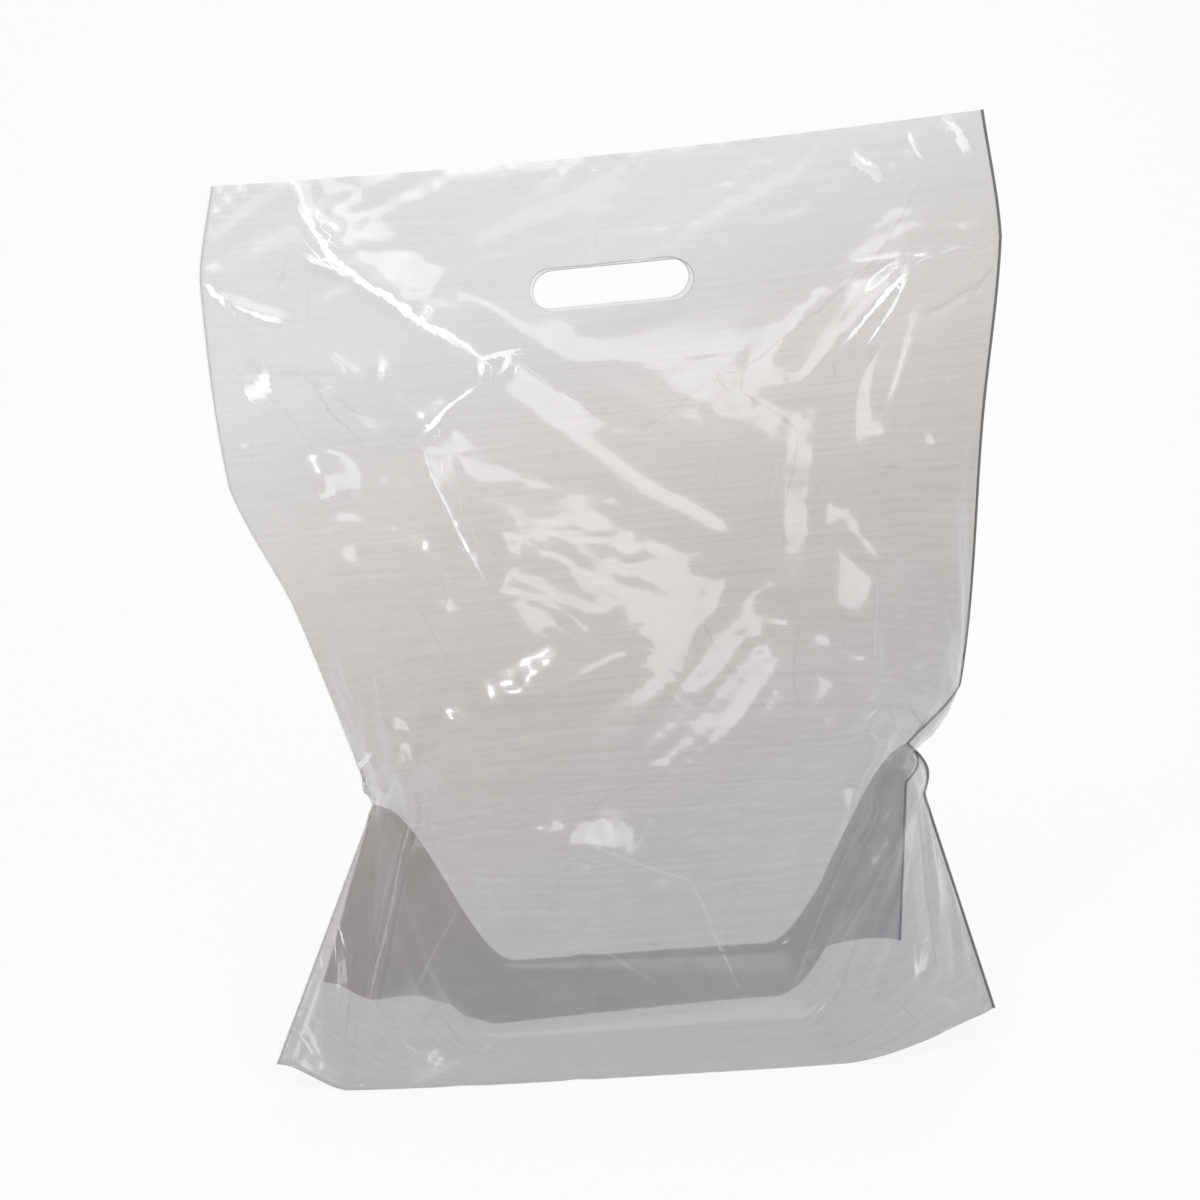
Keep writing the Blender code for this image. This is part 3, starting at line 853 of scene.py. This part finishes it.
def fit_slot(web, points):
    """Moves the grid's points nearest to the hand slot's edge onto that edge, on both panels."""
    rows, columns = points.shape[:2]
    across = np.broadcast_to(np.linspace(0, BAG_WIDTH, columns), (rows, columns)).copy()
    along = np.broadcast_to(web.along[:, None], (rows, columns)).copy()
    gap = np.full((rows, columns), np.inf)
    moved = points.copy()
    spacing = max(BAG_WIDTH / (columns - 1), abs(web.along[1] - web.along[0]))
    for panel in (FRONT, BACK):
        chosen = np.flatnonzero((web.back == (panel is BACK)) & ~web.gusset)
        ups = np.broadcast_to(web.up[chosen][:, None], (len(chosen), columns))
        middle_up = slot_up(panel)
        here = across[chosen]
        distance = slot_gap(here, ups, middle_up)
        nudge = SMALLEST
        slope_across = (slot_gap(here + nudge, ups, middle_up) - distance) / nudge
        slope_up = (slot_gap(here, ups + nudge, middle_up) - distance) / nudge
        near = np.abs(distance) <= spacing / 2
        new_across = np.where(near, here - distance * slope_across, here)
        new_up = np.where(near, ups - distance * slope_up, ups)
        new_along = WEB_LENGTH - PANEL_HEIGHT + new_up if panel is BACK else PANEL_HEIGHT - new_up
        grid_rows = np.interp(new_along.ravel(), web.along, np.arange(rows)).reshape(new_along.shape)
        moved[chosen] = sample_grid(points, grid_rows, new_across / BAG_WIDTH * (columns - 1))
        across[chosen] = new_across
        along[chosen] = new_along
        gap[chosen] = np.where(near, 0.0, distance)
    return moved, FlatFilm(across, along, gap)


def grid_quads(grid):
    """The quads between the places of a grid, facing out of the bag."""
    corners = (grid[:-1, :-1], grid[1:, :-1], grid[1:, 1:], grid[:-1, 1:])
    return np.stack(corners, axis=-1).reshape(-1, 4).tolist()


def film_faces(ids, gap):
    """Faces of the grid as lists of grid places, without those inside the hand slot."""
    flat_ids = ids.ravel()
    flat_gap = gap.ravel()
    faces = []
    for quad in grid_quads(np.arange(ids.size).reshape(ids.shape)):
        gaps = [flat_gap[i] for i in quad]
        if min(gaps) < 0:
            outside = [k for k in range(4) if gaps[k] > 0]
            if len(outside) != 1:
                continue
            k = outside[0]
            quad = [quad[k - 1], quad[k], quad[(k + 1) % 4]]
        single = [p for i, p in enumerate(quad) if flat_ids[p] not in [flat_ids[q] for q in quad[:i]]]
        if len(single) > 2:
            faces.append(single)
    return faces


def add_object(name, data):
    """A new object in the scene."""
    added = bpy.data.objects.new(name, data)
    bpy.context.scene.collection.objects.link(added)
    return added


def build_film(name, points, flat, ids, marks):
    """The film as one mesh, with the place on the flat web in its UV map."""
    faces = film_faces(ids, flat.gap)
    flat_ids = ids.ravel()
    used, compact = np.unique(flat_ids[[p for face in faces for p in face]], return_inverse=True)
    loops = iter(compact.tolist())
    compact_faces = [[next(loops) for _ in face] for face in faces]
    mesh = bpy.data.meshes.new(name)
    mesh.from_pydata(points.reshape(-1, 3)[used].tolist(), [], compact_faces)
    places = np.array([p for face in faces for p in face])
    uvs = np.stack([flat.across.ravel()[places], flat.along.ravel()[places]], axis=-1) / WEB_LENGTH
    layer = mesh.uv_layers.new(name="flat_web")
    layer.uv.foreach_set("vector", uvs.astype(np.float32).ravel())
    for mark, values in marks.items():
        attribute = mesh.attributes.new(mark, "FLOAT", "POINT")
        attribute.data.foreach_set("value", values.ravel()[used].astype(np.float32))
    mesh.shade_smooth()
    return add_object(name, mesh)


def buckle_panel(points, panel, ups):
    """How a panel's film buckles, as moves of its points: it is wider and longer than the room it has.

    The film starts flat, at its cut size, and is carried to the standing shape by its edges.
    """
    rows, columns = points.shape[:2]
    steps = np.linalg.norm(np.diff(points, axis=1), axis=-1)
    reach = np.concatenate([np.zeros((rows, 1)), np.cumsum(steps, axis=1)], axis=1)
    room = reach[:, -1:]
    start = np.random.default_rng(SEED + panel.sign).normal(0.0, BUCKLE_START, points.shape)
    start[..., 0] = (reach - room / 2) * (1 + BUCKLED_SHARE * (BAG_WIDTH / room - 1))
    start[..., 2] = ups[:, None] * (1 - panel.crumple * (1 - BUCKLED_SHARE))
    grid = np.arange(rows * columns).reshape(rows, columns)
    mesh = bpy.data.meshes.new("buckling")
    mesh.from_pydata(start.reshape(-1, 3).tolist(), [], grid_quads(grid))
    film = add_object("buckling", mesh)
    film.shape_key_add(name="cut")
    standing = film.shape_key_add(name="standing")
    standing.data.foreach_set("co", points.astype(np.float32).ravel())
    standing.value = 0.0
    standing.keyframe_insert("value", frame=1)
    standing.value = 1.0
    standing.keyframe_insert("value", frame=BUCKLE_RISE)
    held = film.vertex_groups.new(name="held")
    held.add(grid[1:-1, 1:-1].ravel().tolist(), BUCKLE_HOLD, "REPLACE")
    held.add(np.concatenate([grid[:, 0], grid[:, -1], grid[0], grid[-1]]).tolist(), 1.0, "REPLACE")
    cloth = film.modifiers.new("film", "CLOTH")
    settings = cloth.settings
    settings.quality = BUCKLE_QUALITY
    settings.mass = BUCKLE_MASS
    settings.tension_stiffness = BUCKLE_STRETCH
    settings.compression_stiffness = BUCKLE_STRETCH
    settings.shear_stiffness = BUCKLE_STRETCH / 2
    settings.bending_stiffness = BUCKLE_BEND
    settings.air_damping = 1.0
    settings.vertex_group_mass = "held"
    settings.effector_weights.gravity = 0.0
    cloth.collision_settings.use_collision = False
    scene = bpy.context.scene
    for number in range(1, BUCKLE_FRAMES + 1):
        scene.frame_set(number)
    evaluated = film.evaluated_get(bpy.context.evaluated_depsgraph_get())
    settled = np.zeros(rows * columns * 3, np.float32)
    evaluated.data.vertices.foreach_get("co", settled)
    bpy.data.objects.remove(film)
    scene.frame_set(1)
    return settled.reshape(rows, columns, 3).astype(float) - points


def smoothed(grid, spread):
    """A grid of points blurred over this many squares each way. Its rim stays as it is."""
    reach = int(3 * spread)
    weights = np.exp(-0.5 * (np.arange(-reach, reach + 1) / spread) ** 2)
    weights /= weights.sum()
    for axis in (0, 1):
        pads = [(reach, reach) if i == axis else (0, 0) for i in range(3)]
        padded = np.pad(grid, pads, mode="reflect", reflect_type="odd")
        grid = np.apply_along_axis(np.convolve, axis, padded, weights, mode="valid")
    return grid


def refined(grid):
    """A grid with a smooth point added between each two neighbours."""
    for axis in (0, 1):
        grid = np.moveaxis(grid, axis, 0)
        ends = np.concatenate([2 * grid[:1] - grid[1:2], grid, 2 * grid[-1:] - grid[-2:-1]])
        between = (9 * (ends[1:-2] + ends[2:-1]) - ends[:-3] - ends[3:]) / 16
        finer = np.empty((2 * len(grid) - 1,) + grid.shape[1:])
        finer[::2] = grid
        finer[1::2] = between
        grid = np.moveaxis(finer, 0, axis)
    return grid


def buckle_web(web):
    """Moves of the web's points by the film's buckling, on both panels. The gusset is not simulated."""
    coarse = lay_out_web(COLUMNS // 2, ROWS_ABOVE_PINCH // 2, ROWS_BELOW_PINCH // 2)
    moves = np.zeros_like(web.points)
    for panel in (FRONT, BACK):
        rows = np.flatnonzero((coarse.back == (panel is BACK)) & ~coarse.gusset)
        buckled = buckle_panel(coarse.points[rows], panel, coarse.up[rows])
        wrinkles = buckled - smoothed(buckled, WRINKLE_SPREAD)
        size = np.linalg.norm(wrinkles, axis=-1, keepdims=True)
        calm = ease(coarse.up[rows] / (PANEL_HEIGHT - SLOT_DROP))[:, None, None]
        limit = blend(WRINKLE_LIMIT, TOP_WRINKLE_LIMIT, calm)
        wrinkles *= limit * np.tanh(size / limit) / np.maximum(size, SMALLEST)
        moves[(web.back == (panel is BACK)) & ~web.gusset] = refined(wrinkles)
    return moves


def panels_apart(web, points):
    """For each point of a panel, how far it is from the same place on the other panel."""
    apart = np.full(points.shape[:2], np.inf)
    front = np.flatnonzero(~web.back & ~web.gusset)
    back = np.flatnonzero(web.back & ~web.gusset)[::-1]
    gap = np.linalg.norm(points[front] - points[back], axis=-1)
    apart[front] = gap
    apart[back] = gap
    return apart


def crease_web(web, points, amount):
    """Heights and marks of the sharp creases, on both panels and the gusset."""
    generator = np.random.default_rng(SEED)
    across = np.broadcast_to(np.linspace(0, BAG_WIDTH, points.shape[1]), points.shape[:2])
    ups = np.broadcast_to(web.up[:, None], points.shape[:2])
    made = Creased(*(np.zeros(points.shape[:2]) for _ in Creased._fields))
    back_creases = [mirrored(crease) for crease in FRONT_CREASES]
    for rows, creases in (
        (~web.back & ~web.gusset, list(FRONT_CREASES)),
        (web.back & ~web.gusset, back_creases),
        (web.gusset, list(GUSSET_CREASES)),
    ):
        creases = creases + handling_creases(generator, HANDLING_CREASES)
        for whole, part in zip(made, crease_field(creases, across[rows], ups[rows], generator)):
            whole[rows] = part
    edge = np.minimum(across, BAG_WIDTH - across)
    return made._replace(height=made.height * ease(edge / SEAM_HOLD) * amount)


def mirrored(crease):
    """The like crease of the back panel, from right to left, a little lower and fainter."""
    points = tuple((BAG_WIDTH - across, up * BACK_CREASE_SCALE) for across, up in crease.points)
    whitening = crease.whitening * BACK_WHITENING if crease.line_width < WIDE_LINE else 0.0
    return crease._replace(points=points, whitening=whitening, line_width=min(crease.line_width, THIN_LINE))


def standing_film(buckled, amount):
    """The film's points, its flat places and its marks, ready to become a mesh."""
    web = lay_out_web(COLUMNS, ROWS_ABOVE_PINCH, ROWS_BELOW_PINCH)
    points = web.points
    normals = normals_of(points)
    room = PANEL_SHARE * panels_apart(web, points)
    if buckled:
        moves = buckle_web(web)
        inward = -(moves * normals).sum(axis=-1)
        points = points + moves + normals * np.maximum(inward - room, 0.0)[..., None]
    creased = crease_web(web, points, amount)
    points = points + normals_of(points) * np.maximum(creased.height, -room)[..., None]
    points[..., 2] = np.maximum(points[..., 2], FILM_LIFT)
    points, flat = fit_slot(web, points)
    marks = (creased.stress_and_glint, creased.line_gap, np.minimum(flat.gap, CUT_EDGE_REACH))
    return web, points, flat, dict(zip(FILM_MARKS, marks))


def linear(hex_colour):
    """An sRGB hex colour as linear RGBA."""
    parts = [int(hex_colour[i : i + 2], 16) / 255 for i in (0, 2, 4)]
    return tuple(v / 12.92 if v <= 0.04045 else ((v + 0.055) / 1.055) ** 2.4 for v in parts) + (1.0,)


def add_node(tree, kind, inputs=(), **settings):
    """Adds a node with its settings and its inputs, by name or in order.

    An input is a value, another node's output, or another node, of which the first output is linked.
    """
    node = tree.nodes.new(kind)
    for name, value in settings.items():
        setattr(node, name, value)
    given = inputs.items() if isinstance(inputs, dict) else enumerate(inputs)
    for socket, value in given:
        if isinstance(value, bpy.types.Node):
            value = value.outputs[0]
        if isinstance(value, bpy.types.NodeSocket):
            tree.links.new(value, node.inputs[socket])
        else:
            node.inputs[socket].default_value = value
    return node


def cleared_tree(owner):
    """The node tree of a new material or world, without its first nodes."""
    owner.use_nodes = True
    owner.node_tree.nodes.clear()
    return owner.node_tree


def white_lines_and_glints(tree, place, stress_and_glint, gap):
    """How white the film is: strain whitening and painted glint inside a white line, and 0 outside it."""
    stray = add_node(tree, "ShaderNodeTexNoise", {"Vector": place, "Scale": 1 / STRAY_SIZE})
    stray = add_node(tree, "ShaderNodeMapRange", (stray, *NOISE_SPAN, -STRAY_SHARE, STRAY_SHARE))
    swell = add_node(tree, "ShaderNodeTexNoise", {"Vector": place, "Scale": 1 / SWELL_SIZE})
    half_width = add_node(tree, "ShaderNodeMapRange", (swell, *CLOSE_NOISE_SPAN, *SWELL_SHARES))
    strayed = add_node(tree, "ShaderNodeMath", (gap, stray), operation="ADD")
    strayed = add_node(tree, "ShaderNodeMath", (strayed,), operation="ABSOLUTE")
    past = add_node(tree, "ShaderNodeMath", (strayed, half_width), operation="SUBTRACT")
    inside = add_node(tree, "ShaderNodeMapRange", (past, 0.0, LINE_EDGE, 1.0, 0.0))
    return add_node(tree, "ShaderNodeMath", (stress_and_glint, inside), operation="MULTIPLY")


def cut_rim(tree, z, edge):
    """1 at the hand slot's cut edge, less of it at the foot of the slot, and 0 off the edge."""
    foot = SLOT_MIDDLE - SLOT_HEIGHT / 2
    top = SLOT_MIDDLE + SLOT_HEIGHT / 2
    upper = add_node(tree, "ShaderNodeMapRange", (z, foot, top, LOWER_EDGE_SHARE, 1.0))
    near = add_node(tree, "ShaderNodeMapRange", (edge, 0.0, CUT_EDGE_WIDTH, 1.0, 0.0))
    return add_node(tree, "ShaderNodeMath", (upper, near), operation="MULTIPLY")


def film_colour(tree, height, white, rim):
    """Film tones from the floor up, with painted shade, under white lines, painted glints and the slot's cut
    edge.
    """
    up = add_node(tree, "ShaderNodeMapRange", (height, 0.0, HIGH_FILM, 0.0, 1.0))
    colour = add_node(tree, "ShaderNodeValToRGB", (up,))
    stops = colour.color_ramp.elements
    for height_up, _ in FILM_TONES_WITH_PAINTED_SHADE[1:-1]:
        stops.new(height_up / HIGH_FILM)
    for stop, (_, tone) in zip(stops, FILM_TONES_WITH_PAINTED_SHADE):
        stop.color = linear(tone)
    for share, tone in ((white, WHITE_LINE_AND_GLINT_TONE), (rim, CUT_FILM)):
        inputs = {MIX_SHARE: share, MIX_FIRST: colour, MIX_SECOND: linear(tone)}
        colour = add_node(tree, "ShaderNodeMix", inputs, data_type="RGBA").outputs[MIX_RESULT]
    return colour


def film_material(sizes):
    """Blown low-density polythene, clear and glossy.

    Slightly milky; denser and greyer lower down as painted shade; creases strain-whitened and painted with
    glints.
    Extrusion left faint die lines that run across the bag.
    """
    material = bpy.data.materials.new("blown_clear_polythene")
    tree = cleared_tree(material)
    place = add_node(tree, "ShaderNodeTexCoord").outputs["Object"]
    x, _, z = add_node(tree, "ShaderNodeSeparateXYZ", (place,)).outputs
    height = add_node(tree, "ShaderNodeMath", (x, -RIGHT_PAINTED_SHADE, z), operation="MULTIPLY_ADD")
    flat = add_node(tree, "ShaderNodeUVMap", uv_map="flat_web")
    stretch = (WEB_LENGTH / DIE_LINE_LENGTH, WEB_LENGTH / DIE_LINE_PITCH, 1.0)
    along_lines = add_node(tree, "ShaderNodeMapping", {"Vector": flat, "Scale": stretch})
    lines = add_node(tree, "ShaderNodeTexNoise", {"Vector": along_lines, "Scale": 1.0, "Detail": 1.0})
    cloud = add_node(tree, "ShaderNodeTexNoise", {"Vector": place, "Scale": 1 / CLOUD_SIZE})
    crinkle = add_node(tree, "ShaderNodeTexNoise", {"Vector": place, "Scale": 1 / CRINKLE_SIZE})
    marks = [add_node(tree, "ShaderNodeAttribute", attribute_name=mark) for mark in FILM_MARKS]
    stress_and_glint, gap, edge = (mark.outputs["Fac"] for mark in marks)
    white = white_lines_and_glints(tree, place, stress_and_glint, gap)
    rim = cut_rim(tree, z, edge)

    # Painted shade: one layer of film is more opaque lower down and towards the right
    density = (height, LOW_FILM, HIGH_FILM, sizes.lower_opacity, sizes.upper_opacity)
    density = add_node(tree, "ShaderNodeMapRange", density)
    for pattern, strength in ((lines, DIE_LINE_DENSITY), (cloud, CLOUD_DENSITY)):
        above_mean = add_node(tree, "ShaderNodeMath", (pattern, 0.5), operation="SUBTRACT")
        density = add_node(tree, "ShaderNodeMath", (above_mean, strength, density), operation="MULTIPLY_ADD")
    for mark, strength in ((white, WHITE_DENSITY), (rim, CUT_DENSITY)):
        density = add_node(tree, "ShaderNodeMath", (mark, strength, density), operation="MULTIPLY_ADD")
    crinkled = add_node(tree, "ShaderNodeMath", (crinkle, CRINKLE_RELIEF), operation="MULTIPLY")
    relief = add_node(tree, "ShaderNodeMath", (lines, DIE_LINE_RELIEF, crinkled), operation="MULTIPLY_ADD")
    finish = {
        "Base Color": film_colour(tree, height, white, rim),
        "Alpha": add_node(tree, "ShaderNodeMath", (density, 1.0), operation="MINIMUM"),
        "Normal": add_node(tree, "ShaderNodeBump", {"Height": relief, "Distance": 1.0, "Strength": 1.0}),
        "Roughness": FILM_ROUGHNESS,
        "IOR": POLYTHENE_IOR,
        "Specular IOR Level": 1.0,
        "Coat Weight": 1.0,
        "Coat Roughness": COAT_ROUGHNESS,
    }
    film = add_node(tree, "ShaderNodeBsdfPrincipled", finish)
    add_node(tree, "ShaderNodeOutputMaterial", {"Surface": film})
    return material


def weld_material():
    """Hot-wire side weld bead: film melted into a denser line, painted light on the left and shaded grey on
    the right.
    """
    material = bpy.data.materials.new("fused_polythene_bead")
    tree = cleared_tree(material)
    place = add_node(tree, "ShaderNodeTexCoord").outputs["Object"]
    side = add_node(tree, "ShaderNodeSeparateXYZ", (place,))
    share = add_node(tree, "ShaderNodeMapRange", (side, -BEAD_CHANGE, BEAD_CHANGE, 0.0, 1.0))
    colours = {MIX_SHARE: share, MIX_FIRST: linear(LIT_LEFT_BEAD), MIX_SECOND: linear(SHADED_RIGHT_BEAD)}
    lumps = add_node(tree, "ShaderNodeTexNoise", {"Vector": place, "Scale": 1 / BEAD_LUMP_SIZE})
    density = add_node(tree, "ShaderNodeMath", (share, RIGHT_BEAD_DENSITY), operation="MULTIPLY")
    density = add_node(tree, "ShaderNodeMath", (lumps, BEAD_LUMP_DENSITY, density), operation="MULTIPLY_ADD")
    finish = {
        "Base Color": add_node(tree, "ShaderNodeMix", colours, data_type="RGBA").outputs[MIX_RESULT],
        "Alpha": density,
        "Roughness": BEAD_ROUGHNESS,
        "IOR": POLYTHENE_IOR,
    }
    bead = add_node(tree, "ShaderNodeBsdfPrincipled", finish)
    add_node(tree, "ShaderNodeOutputMaterial", {"Surface": bead})
    return material


def seen_by(tree, *rays):
    """1 for rays of these kinds, and 0 for the others, by which the stage lights the bag."""
    path = add_node(tree, "ShaderNodeLightPath")
    seen = path.outputs[rays[0]]
    for ray in rays[1:]:
        seen = add_node(tree, "ShaderNodeMath", (seen, path.outputs[ray]), operation="MAXIMUM")
    return seen


def studio_material(colour):
    """Matt studio paper. The camera sees it near white, and it keeps the object's shadow."""
    material = bpy.data.materials.new("matt_studio_paper")
    tree = cleared_tree(material)
    seen = seen_by(tree, "Is Camera Ray", "Is Glossy Ray", "Is Transmission Ray")
    share = add_node(tree, "ShaderNodeMath", (seen, PAPER_GLOW), operation="MULTIPLY")
    paper = add_node(tree, "ShaderNodeBsdfDiffuse", {"Color": linear(colour)})
    glow = add_node(tree, "ShaderNodeEmission", {"Color": WHITE, "Strength": 1.0})
    mixed = add_node(tree, "ShaderNodeMixShader", (share, paper, glow))
    add_node(tree, "ShaderNodeOutputMaterial", {"Surface": mixed})
    return material


def paper_sweep(material):
    """The floor and backdrop: one sheet of paper that lies flat and curves up behind the bag."""
    bend = [math.radians(90 * i / PAPER_STEPS) for i in range(PAPER_STEPS + 1)]
    profile = [(-PAPER_FRONT, 0.0)]
    profile += [(PAPER_BACK + PAPER_BEND * math.sin(a), PAPER_BEND * (1 - math.cos(a))) for a in bend]
    profile.append((PAPER_BACK + PAPER_BEND, PAPER_HEIGHT))
    points = [(x, y, z) for y, z in profile for x in (-PAPER_HALF_WIDTH, PAPER_HALF_WIDTH)]
    faces = [(2 * i, 2 * i + 1, 2 * i + 3, 2 * i + 2) for i in range(len(profile) - 1)]
    mesh = bpy.data.meshes.new("paper_sweep")
    mesh.from_pydata(points, [], faces)
    mesh.shade_smooth()
    mesh.materials.append(material)
    return add_object("paper_sweep", mesh)


def bead_tree(material):
    """Geometry Nodes: sweeps a round bead along a path of edges."""
    tree = bpy.data.node_groups.new("weld_bead", "GeometryNodeTree")
    tree.interface.new_socket("Geometry", in_out="INPUT", socket_type="NodeSocketGeometry")
    radius = tree.interface.new_socket("Bead Radius", in_out="INPUT", socket_type="NodeSocketFloat")
    sides = tree.interface.new_socket("Bead Sides", in_out="INPUT", socket_type="NodeSocketInt")
    tree.interface.new_socket("Geometry", in_out="OUTPUT", socket_type="NodeSocketGeometry")
    given = add_node(tree, "NodeGroupInput").outputs
    path = add_node(tree, "GeometryNodeMeshToCurve", {"Mesh": given["Geometry"]})
    round_size = {"Resolution": given["Bead Sides"], "Radius": given["Bead Radius"]}
    ring = add_node(tree, "GeometryNodeCurvePrimitiveCircle", round_size)
    along_path = {"Curve": path, "Profile Curve": ring, "Fill Caps": True}
    swept = add_node(tree, "GeometryNodeCurveToMesh", along_path)
    real = add_node(tree, "GeometryNodeRealizeInstances", (swept,))
    coated = add_node(tree, "GeometryNodeSetMaterial", {"Geometry": real, "Material": material})
    add_node(tree, "NodeGroupOutput", (coated,))
    return tree, radius.identifier, sides.identifier


def sweep_beads(name, paths, material, sizes):
    """One piece of weld beads along paths of points."""
    mesh = bpy.data.meshes.new(name)
    points = []
    edges = []
    for path in paths:
        first = len(points)
        points.extend(map(tuple, path))
        edges.extend((first + i, first + i + 1) for i in range(len(path) - 1))
    mesh.from_pydata(points, edges, [])
    piece = add_object(name, mesh)
    tree, radius, sides = bead_tree(material)
    beads = piece.modifiers.new("beads", "NODES")
    beads.node_group = tree
    beads[radius] = sizes.bead_width / 2
    beads[sides] = BEAD_SIDES
    return make_plain(piece, beads)


def make_plain(piece, modifier):
    """Turns a piece's evaluated result into its plain mesh, and removes the modifier."""
    evaluated = piece.evaluated_get(bpy.context.evaluated_depsgraph_get())
    plain = bpy.data.meshes.new_from_object(evaluated)
    piece.modifiers.remove(modifier)
    piece.data = plain
    plain.shade_smooth()
    return piece


def aim(obj, target):
    """Turns a lamp or the camera towards a point."""
    obj.rotation_euler = (Vector(target) - obj.location).to_track_quat("-Z", "Y").to_euler()


def seen_from(azimuth, elevation, distance, target):
    """The point at a distance from the target. Azimuth 0 is straight in front, positive to the right."""
    level = distance * math.cos(elevation)
    offset = Vector((level * math.sin(azimuth), -level * math.cos(azimuth), distance * math.sin(elevation)))
    return Vector(target) + offset


class BagSizes(bpy.types.PropertyGroup):
    """What a user would change on the bag."""

    crease_strength: bpy.props.FloatProperty(
        name="Crease strength",
        description="How far the sharp creases stand out, as a share of their real height",
        default=1.0,
        min=0.0,
        max=3.0,
    )
    buckled: bpy.props.BoolProperty(
        name="Buckled film",
        description="Simulates how the film buckles where it has room to spare",
        default=True,
    )
    upper_opacity: bpy.props.FloatProperty(
        name="Upper opacity",
        description="Opacity of one layer of film near the mouth",
        default=0.33,
        subtype="FACTOR",
    )
    lower_opacity: bpy.props.FloatProperty(
        name="Lower opacity",
        description="Opacity of one layer of film near the floor",
        default=0.42,
        subtype="FACTOR",
    )
    bead_width: bpy.props.FloatProperty(
        name="Bead width",
        description="Width of the side weld's bead",
        default=0.0016,
        unit="LENGTH",
    )


class StageSizes(bpy.types.PropertyGroup):
    """What a user would change on the stage."""

    azimuth: bpy.props.FloatProperty(
        name="Azimuth",
        description="Camera's angle round the bag, positive to its right",
        default=math.radians(-12),
        subtype="ANGLE",
    )
    elevation: bpy.props.FloatProperty(
        name="Elevation",
        description="Camera's angle above level",
        default=math.radians(12),
        subtype="ANGLE",
    )
    distance: bpy.props.FloatProperty(
        name="Distance",
        description="From the camera to the middle of the bag",
        default=1.592,
        unit="LENGTH",
    )
    lens: bpy.props.FloatProperty(name="Lens", description="Focal length in millimetres", default=85.0)
    paper_colour: bpy.props.StringProperty(name="Paper colour", description="sRGB hex", default="F2F2F2")


class CARRIER_OT_film(bpy.types.Operator):
    """Builds the bag's film: panels and gusset in one web, buckled, creased and punched"""

    bl_idname = "carrier.film"
    bl_label = "Film"

    def execute(self, context):
        sizes = context.scene.carrier_bag
        web, points, flat, marks = standing_film(sizes.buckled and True, sizes.crease_strength)
        film = build_film("film", points, flat, welded_ids(web, ROWS_BELOW_PINCH), marks)
        film.data.materials.append(film_material(sizes))
        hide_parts(BAG_NODE)
        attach(film, BODY)
        return {"FINISHED"}


class CARRIER_OT_welds(bpy.types.Operator):
    """Builds the weld beads down both side seams, and down the front and back ears below the pinch"""

    bl_idname = "carrier.welds"
    bl_label = "Side welds"

    def execute(self, context):
        sizes = context.scene.carrier_bag
        web = lay_out_web(COLUMNS, ROWS_ABOVE_PINCH, ROWS_BELOW_PINCH)
        material = weld_material()
        front = np.flatnonzero(~web.back & ~web.gusset)
        back_ear = np.flatnonzero(web.back & ~web.gusset & (web.up <= GUSSET_DEPTH))
        for name, column in (("left_weld", 0), ("right_weld", -1)):
            paths = [web.points[front, column], web.points[back_ear, column]]
            bead = sweep_beads(name, paths, material, sizes)
            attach(bead, BODY)
        return {"FINISHED"}


class CARRIER_OT_stage(bpy.types.Operator):
    """Sets the floor, the backdrop, the lights and the camera"""

    bl_idname = "carrier.stage"
    bl_label = "Stage"

    def execute(self, context):
        scene = context.scene
        sizes = scene.carrier_stage
        paper_sweep(studio_material(sizes.paper_colour))
        self.light_world(scene)
        for name, place, size, power in LAMPS:
            lamp = bpy.data.lights.new(name, "AREA")
            lamp.shape = "RECTANGLE"
            lamp.size, lamp.size_y = size
            lamp.energy = power
            softbox = add_object(name, lamp)
            softbox.location = place
            aim(softbox, CAMERA_TARGET)
        camera = add_object("camera", bpy.data.cameras.new("camera"))
        camera.data.lens = sizes.lens
        camera.location = seen_from(sizes.azimuth, sizes.elevation, sizes.distance, CAMERA_TARGET)
        aim(camera, CAMERA_TARGET)
        scene.camera = camera
        scene.view_settings.view_transform = "Standard"
        scene.cycles.transparent_max_bounces = FILM_LAYERS
        return {"FINISHED"}

    def light_world(self, scene):
        """A plain pale world that the camera sees white."""
        scene.world = bpy.data.worlds.new("studio")
        tree = cleared_tree(scene.world)
        seen = seen_by(tree, "Is Camera Ray", "Is Transmission Ray")
        strength = add_node(tree, "ShaderNodeMapRange", (seen, 0.0, 1.0, WORLD_LIGHT, 1.0))
        light = add_node(tree, "ShaderNodeBackground", {"Color": WHITE, "Strength": strength})
        add_node(tree, "ShaderNodeOutputWorld", {"Surface": light})


class CARRIER_PT_panel(bpy.types.Panel):
    """Lists the bag's pieces and the stage"""

    bl_idname = "CARRIER_PT_panel"
    bl_label = "Carrier bag"
    bl_space_type = "VIEW_3D"
    bl_region_type = "UI"
    bl_category = "Carrier bag"

    def draw(self, context):
        for group, operators in (
            (context.scene.carrier_bag, (CARRIER_OT_film, CARRIER_OT_welds)),
            (context.scene.carrier_stage, (CARRIER_OT_stage,)),
        ):
            box = self.layout.box()
            for name in group.bl_rna.properties.keys():
                if name not in ("rna_type", "name"):
                    box.prop(group, name)
            for operator in operators:
                box.operator(operator.bl_idname)


CLASSES = (BagSizes, StageSizes, CARRIER_OT_film, CARRIER_OT_welds, CARRIER_OT_stage, CARRIER_PT_panel)


def register():
    for kind in CLASSES:
        bpy.utils.register_class(kind)
    bpy.types.Scene.carrier_bag = bpy.props.PointerProperty(type=BagSizes)
    bpy.types.Scene.carrier_stage = bpy.props.PointerProperty(type=StageSizes)


def unregister():
    del bpy.types.Scene.carrier_stage
    del bpy.types.Scene.carrier_bag
    for kind in reversed(CLASSES):
        bpy.utils.unregister_class(kind)


def main():
    register()
    bpy.ops.carrier.stage()
    bpy.ops.carrier.film()
    bpy.ops.carrier.welds()


if __name__ == "__main__":
    main()
